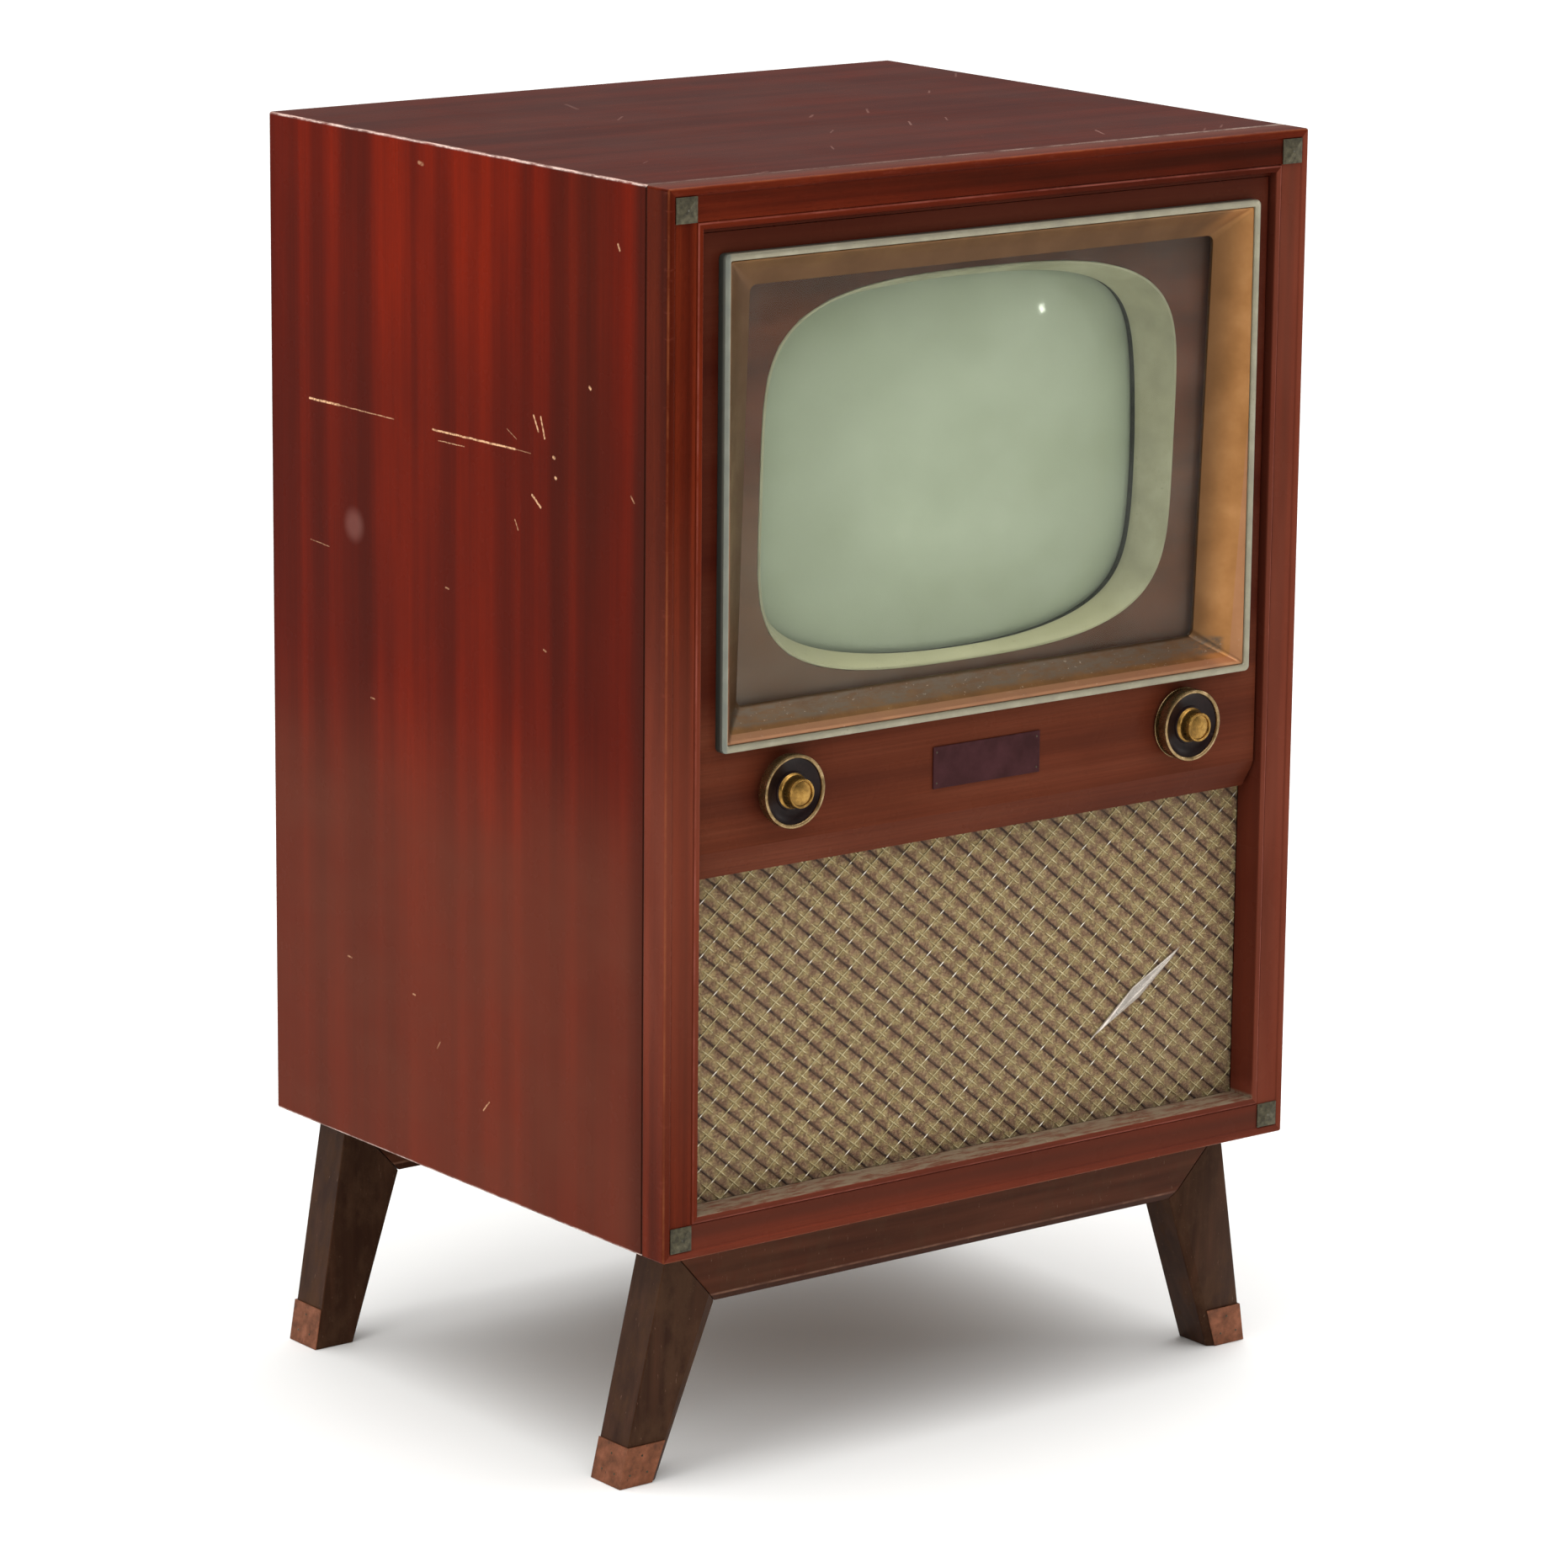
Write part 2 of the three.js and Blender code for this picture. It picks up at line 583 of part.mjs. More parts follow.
function addPictureTube() {
  const end = FACE_FRONT + TUBE_LENGTH;
  const ring = (place) => ovalAngles.map((angle) => point(...place(angle)));
  const shell = (inset) => {
    const outline = grown(BULB_OVAL, -inset);
    const neck = NECK_RADIUS - Math.min(inset, NECK_WALL);
    const rings = FACE_SHARES.map((share) =>
      ring((angle) => {
        const [x, z] = oval(outline, angle).map((v) => v * share);
        return [x, faceDepth(x, z) + inset, z];
      }),
    );
    for (const { share, circle, depth } of FUNNEL) {
      rings.push(
        ring((angle) => {
          const [x, z] = oval(outline, angle);
          const round = NECK_RADIUS * 1.2 - Math.min(inset, NECK_WALL);
          const flat = 1 - circle;
          return [
            flat * x * share + circle * round * Math.cos(angle),
            depth,
            flat * z * share + circle * round * Math.sin(angle),
          ];
        }),
      );
    }
    for (const y of [NECK_START, end]) {
      rings.push(ring((angle) => [neck * Math.cos(angle), y, neck * Math.sin(angle)]));
    }
    return rings;
  };
  const outer = shell(0);
  const inner = shell(TUBE_WALL).reverse();
  const geometry = skin([...outer, ...inner], {
    startPole: point(0, FACE_FRONT, 0),
    endPole: point(0, FACE_FRONT + TUBE_WALL, 0),
  });
  const tube = add(cabinet, "picture_tube", geometry, TUBE_GLASS);
  tube.position.z = SCREEN_Z;

  const yokeBore = NECK_RADIUS + 1.2;
  const yoke = turned(
    [
      [yokeBore, 292],
      [46, 296],
      [46, 304],
      [38, 308],
      [38, 344],
      [42, 348],
      [42, 352],
      [yokeBore, 352],
      [yokeBore, 292],
    ],
    28,
  );
  const coil = add(cabinet, "deflection_yoke", yoke, BLACK_PAINT);
  coil.position.z = SCREEN_Z;

  const socketProfile = [
    [0, end + GAP],
    [19, end + GAP],
    [19, end + 14],
    [14, end + 18],
    [0, end + 18],
  ];
  const socket = add(cabinet, "tube_socket", turned(socketProfile, 24), BAKELITE);
  socket.position.z = SCREEN_Z;
}

// ---------------------------------------------------------------- grille and loudspeaker

function addSpeakerBoard() {
  const half = INNER_HALF_WIDTH - GAP;
  const bottom = BOARD + GAP;
  const top = SHELF_Z - GAP;
  const board = block(-half, half, BOARD_FRONT, BOARD_BACK, bottom, top);
  const hole = rod(SPEAKER_OPENING, BOARD_FRONT - 1, BOARD_BACK + 1, 40).translate(0, 0, SPEAKER_Z);
  add(cabinet, "speaker_board", carve([board], [hole]), RAW_WOOD);

  const clothFront = BOARD_FRONT - GAP - CLOTH_THICKNESS;
  const cloth = block(1 - half, half - 1, clothFront, BOARD_FRONT - GAP, bottom + 1, top - 1);
  add(cabinet, "grille_cloth", cloth, GRILLE_CLOTH);

  // Plain slanting lozenge with a ridge along it.
  const { halfLength, halfHeight } = ORNAMENT;
  const lozenge = (length, height, y) => [
    point(-length, y, 0),
    point(0, y, -height),
    point(length, y, 0),
    point(0, y, height),
  ];
  const ornament = skin([
    lozenge(halfLength, halfHeight, clothFront - GAP),
    lozenge(halfLength, halfHeight, clothFront - 1.6),
    lozenge(halfLength - 12, 0.8, clothFront - 3.6),
  ]);
  const bar = add(cabinet, "grille_ornament", ornament, TRIM_METAL);
  bar.position.set(ORNAMENT.x, 0, ORNAMENT.z);
  bar.rotation.y = -ORNAMENT.slant;
}

function addLoudspeaker() {
  const flange = BOARD_BACK + GAP;
  const place = (mesh) => mesh.position.set(0, 0, SPEAKER_Z);
  const behind = (profile) => profile.map(([radius, depth]) => [radius, flange + depth]);
  const sheet = 2;
  const rim = SPEAKER_OPENING - 1;
  const seat = MAGNET.radius + 4;
  const basket = turned(
    behind([
      [SPEAKER_RADIUS, 0],
      [SPEAKER_RADIUS, sheet],
      [rim + 3, sheet],
      [seat, SPEAKER_DEPTH - 4],
      [seat, SPEAKER_DEPTH],
      [10, SPEAKER_DEPTH],
      [10, SPEAKER_DEPTH - sheet],
      [seat - sheet, SPEAKER_DEPTH - sheet],
      [seat - sheet, SPEAKER_DEPTH - 5],
      [rim, sheet - 0.5],
      [rim, 0],
      [SPEAKER_RADIUS, 0],
    ]),
    36,
  );
  const windows = Array.from({ length: 6 }, (_, i) =>
    block(-14, 14, flange + 16, flange + 46, 40, 90).rotateY((i * Math.PI) / 3),
  );
  place(add(cabinet, "speaker_frame", carve([basket], windows), TIN_PLATE));

  const coneRadius = rim - 2;
  const cone = turned(
    behind([
      [0, 41],
      [21, 43.8],
      [coneRadius - 1, 1],
      [coneRadius, 1],
      [coneRadius, 1.8],
      [22, 45],
      [0, 42],
    ]),
    36,
  );
  place(add(cabinet, "speaker_cone", cone, PAPER));

  const start = SPEAKER_DEPTH + GAP;
  const { radius, depth, bevel } = MAGNET;
  const magnet = behind([
    [0, start],
    [radius, start],
    [radius, start + depth - bevel],
    [radius - bevel, start + depth],
    [0, start + depth],
  ]);
  place(add(cabinet, "speaker_magnet", turned(magnet, 28), STEEL));
}

// ---------------------------------------------------------------- controls

// Dished disc with a raised metal rim. Its bore takes the outer shaft, and a flanged one has a
// second rim behind the first.
function discKnob(rearFlange) {
  const bore = OUTER_SHAFT_RADIUS + GAP;
  const buttonBore = BUTTON_RADIUS + 0.5;
  const flanged = [
    [DISC_RADIUS - 1, DISC_BACK - 1],
    [DISC_RADIUS - 3.5, DISC_BACK],
    [DISC_RADIUS - 3.5, DISC_BACK + 2.6],
    [DISC_RADIUS, DISC_BACK + 2.6],
    [DISC_RADIUS, DISC_BACK + 4],
  ];
  const plain = [
    [DISC_RADIUS - 0.6, DISC_BACK - 0.6],
    [DISC_RADIUS - 1, DISC_BACK],
  ];
  const rimBack = rearFlange ? flanged : plain;
  const backY = rimBack.at(-1)[1];
  return turned(
    [
      [bore, HUB_FRONT],
      [buttonBore, HUB_FRONT],
      [buttonBore, COLLAR_FRONT],
      [14.4, COLLAR_FRONT],
      [15, -5.2],
      [24.8, -7.6],
      [25.2, DISC_FRONT + 0.3],
      [26, DISC_FRONT],
      [27.4, DISC_FRONT],
      [DISC_RADIUS, DISC_FRONT + 0.8],
      [DISC_RADIUS, DISC_BACK - 2],
      ...rimBack,
      [8, backY],
      [bore, backY],
      [bore, HUB_FRONT],
    ],
    40,
  );
}

// Brass button on the inner shaft, with a raised edge round its face and a skirt that flares out.
function buttonKnob() {
  const back = HUB_FRONT - GAP;
  const front = -KNOB_REACH;
  const bore = INNER_SHAFT_RADIUS + GAP;
  const boreEnd = front + BUTTON_FACE;
  return turned(
    [
      [bore, back],
      [BUTTON_RADIUS, back],
      [BUTTON_RADIUS, SKIRT_BACK],
      [SKIRT_RADIUS, SKIRT_BACK],
      [SKIRT_RADIUS - 0.4, SKIRT_BACK - 1],
      [BUTTON_RADIUS + 0.6, SKIRT_BACK - 4],
      [BUTTON_RADIUS, SKIRT_BACK - 7],
      [BUTTON_RADIUS, front + 1],
      [BUTTON_RADIUS - 0.6, front + 0.3],
      [BUTTON_RADIUS - 1.4, front],
      [BUTTON_RADIUS - 2.2, front + 0.5],
      [0, front + 0.5],
      [0, boreEnd],
      [bore, boreEnd],
      [bore, back],
    ],
    32,
  );
}

function addControls() {
  const clearance = INNER_SHAFT_RADIUS + GAP;
  const outerShaft = sleeve(clearance, OUTER_SHAFT_RADIUS, HUB_FRONT + GAP, SHAFT_END, 20);
  const innerShaft = rod(INNER_SHAFT_RADIUS, BUTTON_FACE + GAP - KNOB_REACH, SHAFT_END, 16);
  const sets = [
    [-1, "contrast", "volume", false],
    [1, "channel", "fine_tuning", true],
  ];
  for (const [sign, outerName, innerName, rearFlange] of sets) {
    const place = (mesh) => mesh.position.set(sign * KNOB_X, 0, KNOB_Z);
    place(add(cabinet, `${outerName}_knob`, discKnob(rearFlange), DISC_PLASTIC));
    place(add(cabinet, `${innerName}_knob`, buttonKnob(), POLISHED_BRASS));
    place(add(cabinet, `${outerName}_shaft`, outerShaft, STEEL));
    place(add(cabinet, `${innerName}_shaft`, innerShaft, STEEL));
  }

  // Two potentiometers in line behind a threaded bushing.
  const bush = PANEL_BACK + 2;
  const shaftRoom = rod(OUTER_SHAFT_RADIUS + GAP, bush - 1, SHAFT_END + GAP, 20);
  const canRadius = 15;
  const cans = turned(
    [
      [0, bush],
      [BUSHING_RADIUS, bush],
      [BUSHING_RADIUS, 44],
      [canRadius, 44],
      [canRadius, 57],
      [canRadius - 2, 57],
      [canRadius - 2, 59],
      [canRadius, 59],
      [canRadius, 72],
      [canRadius - 6, 74],
      [0, 74],
    ],
    28,
  );
  const control = add(cabinet, "dual_control", carve([cans], [shaftRoom]), TIN_PLATE);
  control.position.set(-KNOB_X, 0, KNOB_Z);

  const { halfWidth, front, back, top } = TUNER_BOX;
  const bushing = rod(BUSHING_RADIUS, bush, front + 2, 24);
  const box = block(-halfWidth, halfWidth, front, back, CHASSIS.bottom - KNOB_Z, top);
  const tuner = add(cabinet, "tuner", carve([bushing, box], [shaftRoom]), TIN_PLATE);
  tuner.position.set(KNOB_X, 0, KNOB_Z);
}

// ---------------------------------------------------------------- chassis

function addChassis() {
  const half = INNER_HALF_WIDTH - GAP;
  const shelf = block(-half, half, 60, 500, SHELF_Z, SHELF_Z + SHELF_THICKNESS);
  add(cabinet, "chassis_shelf", shelf, RAW_WOOD);

  const { x, front, back, bottom, top } = CHASSIS;
  const t = CHASSIS_SHEET;
  const pan = block(-x, x, front, back, bottom, top);
  const inside = block(t - x, x - t, front + t, back - t, bottom - 1, top - t);
  add(cabinet, "chassis", carve([pan], [inside]), STEEL);

  const deck = top + GAP;
  // Laminated core with a winding bell on each side of it.
  const { halfWidth, halfDepth, height } = TRANSFORMER;
  const bell = 12;
  const core = block(-halfWidth, halfWidth, -halfDepth, halfDepth, bell, height);
  const bellHalfDepth = halfDepth + bell;
  const bells = block(bell - halfWidth, halfWidth - bell, -bellHalfDepth, bellHalfDepth, 0, height + bell);
  const transformer = add(cabinet, "power_transformer", carve([core, bells]), BLACK_PAINT);
  transformer.position.set(TRANSFORMER.x, TRANSFORMER.y, deck);

  const { x0, x1, y0, y1 } = CAGE;
  const roof = deck + CAGE.height;
  const shell = block(x0, x1, y0, y1, deck, roof);
  const hollow = block(x0 + t, x1 - t, y0 + t, y1 - t, deck - 1, roof - t);
  const slots = Array.from({ length: 5 }, (_, i) => {
    const slotX = x0 + 14 + i * 20;
    return block(slotX, slotX + 10, y1 - 5, y1 + 5, deck + 30, deck + 95);
  });
  add(cabinet, "high_voltage_cage", carve([shell], [hollow, ...slots]), TIN_PLATE);

  const bulb = turnedUpright([
    [0, 0],
    [16, 0],
    [16, 12],
    [15, 14],
    [19, 22],
    [19, 66],
    [14, 76],
    [5, 80],
    [3, 86],
    [0, 87],
  ]);
  const valve = add(cabinet, "vacuum_tube", bulb, CLEAR_GLASS);
  valve.position.set(VACUUM_TUBE.x, VACUUM_TUBE.y, deck);
}

// ---------------------------------------------------------------- back cover

function addBack() {
  const edge = 2 * GAP;
  const half = INNER_HALF_WIDTH - edge;
  const bottom = BOARD + edge;
  const top = CABINET_HEIGHT - BOARD - edge;
  const board = block(-half, half, COVER_FRONT, COVER_BACK, bottom, top);
  const slot = (x, z, halfWide, halfHigh) =>
    block(x - halfWide, x + halfWide, COVER_FRONT - 1, COVER_BACK + 1, z - halfHigh, z + halfHigh);
  const cuts = VENT.rows.flatMap((z) =>
    [-3, -2, -1, 0, 1, 2, 3].map((i) => slot(i * VENT.spacing, z, VENT.width / 2, VENT.height / 2)),
  );
  const rearKnobX = (i) => i * REAR_KNOB_SPACING;
  for (const i of [-1, 0, 1]) {
    const hole = rod(REAR_KNOB_RADIUS + 2.5, COVER_FRONT - 1, COVER_BACK + 1, 20);
    cuts.push(hole.translate(rearKnobX(i), 0, REAR_KNOB_Z));
  }
  cuts.push(slot(INLET.x, REAR_KNOB_Z, INLET.halfWidth + 1.5, INLET.halfHeight + 1));
  add(cabinet, "back_cover", carve([board], cuts), HARDBOARD);

  const shaftStart = CHASSIS.back + 1;
  const shaftRadius = 3;
  const knob = turned(
    [
      [0, shaftStart],
      [shaftRadius, shaftStart],
      [shaftRadius, COVER_FRONT - 8],
      [REAR_KNOB_RADIUS, COVER_FRONT - 7],
      [REAR_KNOB_RADIUS, REAR_KNOB_END - 1],
      [REAR_KNOB_RADIUS - 1, REAR_KNOB_END],
      [0, REAR_KNOB_END],
    ],
    24,
  );
  const names = ["horizontal_hold_knob", "vertical_hold_knob", "brightness_knob"];
  names.forEach((name, i) => {
    add(cabinet, name, knob, BAKELITE).position.set(rearKnobX(i - 1), 0, REAR_KNOB_Z);
  });

  const { x0, x1, z0, z1, thickness } = AERIAL_STRIP;
  const stripFront = COVER_BACK + GAP;
  const strip = block(x0, x1, stripFront, stripFront + thickness, z0, z1);
  add(cabinet, "antenna_terminal_board", strip, BAKELITE);

  // Open box with two flat pins standing in it.
  const { halfWidth, halfHeight, front } = INLET;
  const wall = 3;
  const mouth = COVER_BACK + INLET.proud;
  const body = block(-halfWidth, halfWidth, front, mouth, -halfHeight, halfHeight);
  const wellHalfWidth = halfWidth - wall;
  const wellHalfHeight = halfHeight - wall;
  const well = block(-wellHalfWidth, wellHalfWidth, front + 5, mouth + 1, -wellHalfHeight, wellHalfHeight);
  const pins = [-6, 6].map((x) => block(x - 1.5, x + 1.5, front + 4, mouth - 2, -3, 3));
  const shell = solid(body).subtract(solid(well));
  const made = pins.reduce((joined, pin) => joined.add(solid(pin)), shell);
  const inlet = add(cabinet, "interlock_inlet", geometryOf(made), BAKELITE);
  inlet.position.set(INLET.x, 0, REAR_KNOB_Z);
}

// ---------------------------------------------------------------- base

const TRESTLE_MIDDLE = 270.5; // the rear trestle is the front one turned about this depth
const topZ = BASE_HEIGHT - GAP;

const mix = (from, to, share) => from + (to - from) * share;
const frontFaceY = (z) => mix(TRESTLE_FOOT_Y, TRESTLE_TOP_Y, z / BASE_HEIGHT);
const legOuterX = (z) => mix(FOOT_OUTER, LEG_TOP_OUTER, z / BASE_HEIGHT);
const legInnerX = (z) => mix(FOOT_INNER, ELBOW.x, z / ELBOW.z);

// Point of a trestle: depth is measured from its own front face, which leans with height.
function trestlePoint(rear, x, depth, z) {
  const y = frontFaceY(z) + depth;
  return point(x, rear ? 2 * TRESTLE_MIDDLE - y : y, z);
}

// Face outlines at three depths: the front, the back of the inner bevel, and the back.
function trestleBody(rear, frontOutline, bevelOutline) {
  const at = (outline, depth) => outline.map(([x, z]) => trestlePoint(rear, x, depth, z));
  return skin([at(frontOutline, 0), at(bevelOutline, BEVEL.depth), at(bevelOutline, LEG_DEPTH)]);
}

function addTrestle(rear) {
  const end = rear ? "rear" : "front";
  const bevelElbow = [ELBOW.x - BEVEL.width, ELBOW.z - BEVEL.drop];
  const rail = (elbow) => [
    [-LEG_TOP_OUTER + GAP, topZ],
    [LEG_TOP_OUTER - GAP, topZ],
    [elbow[0] - GAP, elbow[1]],
    [-elbow[0] + GAP, elbow[1]],
  ];
  const railBody = trestleBody(rear, rail([ELBOW.x, ELBOW.z]), rail(bevelElbow));
  add(base, `${end}_base_rail`, railBody, BASE_WOOD);

  for (const [side, sign] of SIDES) {
    const leg = (elbow, footInner) =>
      [
        [LEG_TOP_OUTER + GAP, topZ],
        [FOOT_OUTER, 0],
        [footInner, 0],
        [elbow[0] + GAP, elbow[1]],
      ].map(([x, z]) => [sign * x, z]);
    const body = trestleBody(
      rear,
      leg([ELBOW.x, ELBOW.z], FOOT_INNER),
      leg(bevelElbow, FOOT_INNER - BEVEL.width + 1),
    );
    add(base, `${end}_${side}_leg`, body, BASE_WOOD);

    const angle = (z) => {
      const near = GAP;
      const far = GAP + SABOT_SHEET;
      const inner = legInnerX(z);
      const outer = legOuterX(z);
      const corners = [
        [inner, -far],
        [outer + far, -far],
        [outer + far, LEG_DEPTH],
        [outer + near, LEG_DEPTH],
        [outer + near, -near],
        [inner, -near],
      ];
      return corners.map(([x, depth]) => trestlePoint(rear, sign * x, depth, z));
    };
    add(base, `${end}_${side}_sabot`, skin([angle(GAP), angle(SABOT_HEIGHT)]), COPPER);
  }
}

// ---------------------------------------------------------------- assembly

addCarcass();
addFrontFrame();
addStuds();
addFrontPanel();
addScreenSurround();
addGlassAndMask();
addHalo();
addPictureTube();
addSpeakerBoard();
addLoudspeaker();
addControls();
addChassis();
addBack();
addTrestle(false);
addTrestle(true);

// The leaning group turns about a line along X through the middle of the mask's front.
tilted.position.set(0, MASK_FRONT, SCREEN_Z);
tilted.rotation.x = Math.atan(SCREEN_LEAN);
cabinet.add(tilted);

const frontY = KNOB_REACH - (CABINET_DEPTH + KNOB_REACH) / 2;
cabinet.position.set(0, frontY, BASE_HEIGHT);
base.position.set(0, frontY, 0);

const television = new THREE.Group();
television.add(cabinet, base);

export default television;
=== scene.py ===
"""A console television cabinet: the visual model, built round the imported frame.

Lengths are in millimetres in cabinet coordinates (x right, y back from the front plane, z up from
the bottom of the cabinet) until place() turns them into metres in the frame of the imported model.
"""
import random
from math import atan2, cos, hypot, pi, radians, sin, sqrt, tau

import bmesh
import bpy
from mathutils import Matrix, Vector


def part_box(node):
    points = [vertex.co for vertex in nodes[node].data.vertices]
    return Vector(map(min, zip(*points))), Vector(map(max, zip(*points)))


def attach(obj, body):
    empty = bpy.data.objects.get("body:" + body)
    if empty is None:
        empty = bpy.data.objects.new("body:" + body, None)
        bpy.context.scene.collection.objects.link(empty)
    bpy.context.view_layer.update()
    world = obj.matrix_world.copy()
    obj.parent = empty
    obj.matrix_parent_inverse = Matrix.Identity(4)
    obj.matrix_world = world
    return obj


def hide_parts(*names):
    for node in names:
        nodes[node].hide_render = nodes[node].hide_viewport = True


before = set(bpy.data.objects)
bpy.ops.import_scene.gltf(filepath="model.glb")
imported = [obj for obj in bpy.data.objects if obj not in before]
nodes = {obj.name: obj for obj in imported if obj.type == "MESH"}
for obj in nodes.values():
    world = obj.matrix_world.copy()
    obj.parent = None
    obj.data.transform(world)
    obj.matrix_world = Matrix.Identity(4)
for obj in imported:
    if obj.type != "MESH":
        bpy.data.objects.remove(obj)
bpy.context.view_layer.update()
scene = bpy.context.scene

MM = 0.001
TOP_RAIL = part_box("front_top_rail")
FRONT = TOP_RAIL[0].y
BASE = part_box("front_bottom_rail")[0].z
HALF_WIDTH = TOP_RAIL[1].x / MM
HEIGHT = (TOP_RAIL[1].z - BASE) / MM
DEPTH = (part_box("top_panel")[1].y - FRONT) / MM
BASE_HEIGHT = BASE / MM
RAIL_LOW = (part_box("front_base_rail")[0].z - BASE) / MM

CORNER_RADIUS = 2.0
SCREEN_Z = 565.2
LEAN = 0.041
RECESS_SILL = 157.0
KNOB_X = 193.3
KNOB_Z = 346.5
CROSS_X = -54.0
CROSS_Z = 155.4
PITCH_X = 25.4
PITCH_Z = 20.6


# ------------ places and meshes

def place(x, y, z):
    """A point given in cabinet millimetres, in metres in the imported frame."""
    return Vector((x * MM, FRONT + y * MM, BASE + z * MM))


def cleaned(mesh):
    """Merges the mesh's double points, drops its empty faces and turns its normals outwards."""
    work = bmesh.new()
    work.from_mesh(mesh)
    bmesh.ops.remove_doubles(work, verts=work.verts, dist=1e-6)
    bmesh.ops.dissolve_degenerate(work, edges=work.edges, dist=1e-7)
    bmesh.ops.recalc_face_normals(work, faces=work.faces)
    work.to_mesh(mesh)
    work.free()


def stand(name, data):
    """A new object in the scene."""
    made = bpy.data.objects.new(name, data)
    scene.collection.objects.link(made)
    return made


def piece(name, points, faces, *materials, body="cabinet", stands_for=None, slot, smooth=None, clean=True):
    """A new visible piece from points in cabinet millimetres; smooth is the sharp-edge angle."""
    mesh = bpy.data.meshes.new(name)
    mesh.from_pydata([place(*p) for p in points], [], faces)
    if clean:
        cleaned(mesh)
    for material in materials:
        mesh.materials.append(material)
    if smooth:
        mesh.shade_smooth()
        mesh.set_sharp_from_angle(angle=radians(smooth))
    made = stand(name, mesh)
    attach(made, body)
    if stands_for:
        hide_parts(stands_for)
    return made


def loft(rings, closed_ring=True, closed_loft=False, caps=True):
    """Points and faces joining rings of equal length; closed_loft joins the last to the first."""
    count = len(rings[0])
    points = [p for ring in rings for p in ring]
    faces = []
    for i in range(len(rings) if closed_loft else len(rings) - 1):
        here = i * count
        there = ((i + 1) % len(rings)) * count
        for j in range(count if closed_ring else count - 1):
            k = (j + 1) % count
            faces.append((here + j, here + k, there + k, there + j))
    if caps and not closed_loft:
        faces.append(tuple(range(count)))
        faces.append(tuple(range(len(points) - count, len(points))))
    return points, faces


def merged(lofts):
    """Several lofts as one list of points and one of faces."""
    points, faces = [], []
    for more, joined in lofts:
        faces += [tuple(len(points) + i for i in face) for face in joined]
        points += more
    return points, faces


def paint_faces(made, choose):
    """Gives each face the material index that choose(centre in cabinet millimetres) says."""
    for face in made.data.polygons:
        c = face.center
        face.material_index = choose(c.x / MM, (c.y - FRONT) / MM, (c.z - BASE) / MM)


def dress(name, material, width, angle=30):
    """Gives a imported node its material, and rounds its edges if width is not 0."""
    node = nodes[name]
    for own in node.material_slots:
        own.material = material
    if width:
        weld = node.modifiers.new("weld", "WELD")
        weld.merge_threshold = 1e-5
        flat = node.modifiers.new("flat", "DECIMATE")
        flat.decimate_type = "DISSOLVE"
        flat.angle_limit = radians(0.2)
        bevel = node.modifiers.new("bevel", "BEVEL")
        bevel.width = width * MM
        bevel.segments = 2
        bevel.limit_method = "ANGLE"
        bevel.angle_limit = radians(angle)
        bevel.use_clamp_overlap = True


# ------------ node materials

def linear(code):
    """A hex colour as linear RGBA."""
    values = [int(code[i:i + 2], 16) / 255 for i in (0, 2, 4)]
    return tuple(v / 12.92 if v <= 0.04045 else ((v + 0.055) / 1.055) ** 2.4 for v in values) + (1,)


STOPS = {2: (0.3, 0.7), 3: (0.3, 0.5, 0.7)}


class Value:
    """A number that varies over a surface; arithmetic on it adds math nodes to its material."""

    def __init__(self, mat, socket):
        self.mat = mat
        self.socket = socket

    def __add__(self, other):
        return self.mat.math("ADD", self, other)

    def __sub__(self, other):
        return self.mat.math("SUBTRACT", self, other)

    def __rsub__(self, other):
        return self.mat.math("SUBTRACT", other, self)

    def __mul__(self, other):
        return self.mat.math("MULTIPLY", self, other)

    def __truediv__(self, other):
        return self.mat.math("DIVIDE", self, other)

    def __abs__(self):
        return self.mat.math("ABSOLUTE", self)

    def map(self, low, high, to_low, to_high):
        """low..high mapped smoothly to to_low..to_high, held outside."""
        node = self.mat.add("MapRange", self, low, high, to_low, to_high)
        node.interpolation_type = "SMOOTHSTEP"
        return Value(self.mat, node.outputs[0])

    def rise(self, low, high, most=1):
        """0 at low and most at high; in the coats below, low and high are often millimetres."""
        return self.map(low, high, 0, most)

    def fall(self, low, high, most=1):
        return self.map(low, high, most, 0)

    def ramp(self, tones, at=None):
        """Hex colours blended along the value; at gives their places."""
        tones = tones.split()
        node = self.mat.add("ValToRGB", self)
        stack = node.color_ramp.elements
        while len(stack) < len(tones):
            stack.new(0.5)
        for element, position, colour in zip(stack, at or STOPS[len(tones)], tones):
            element.position = position
            element.color = linear(colour)
        return node.outputs[0]


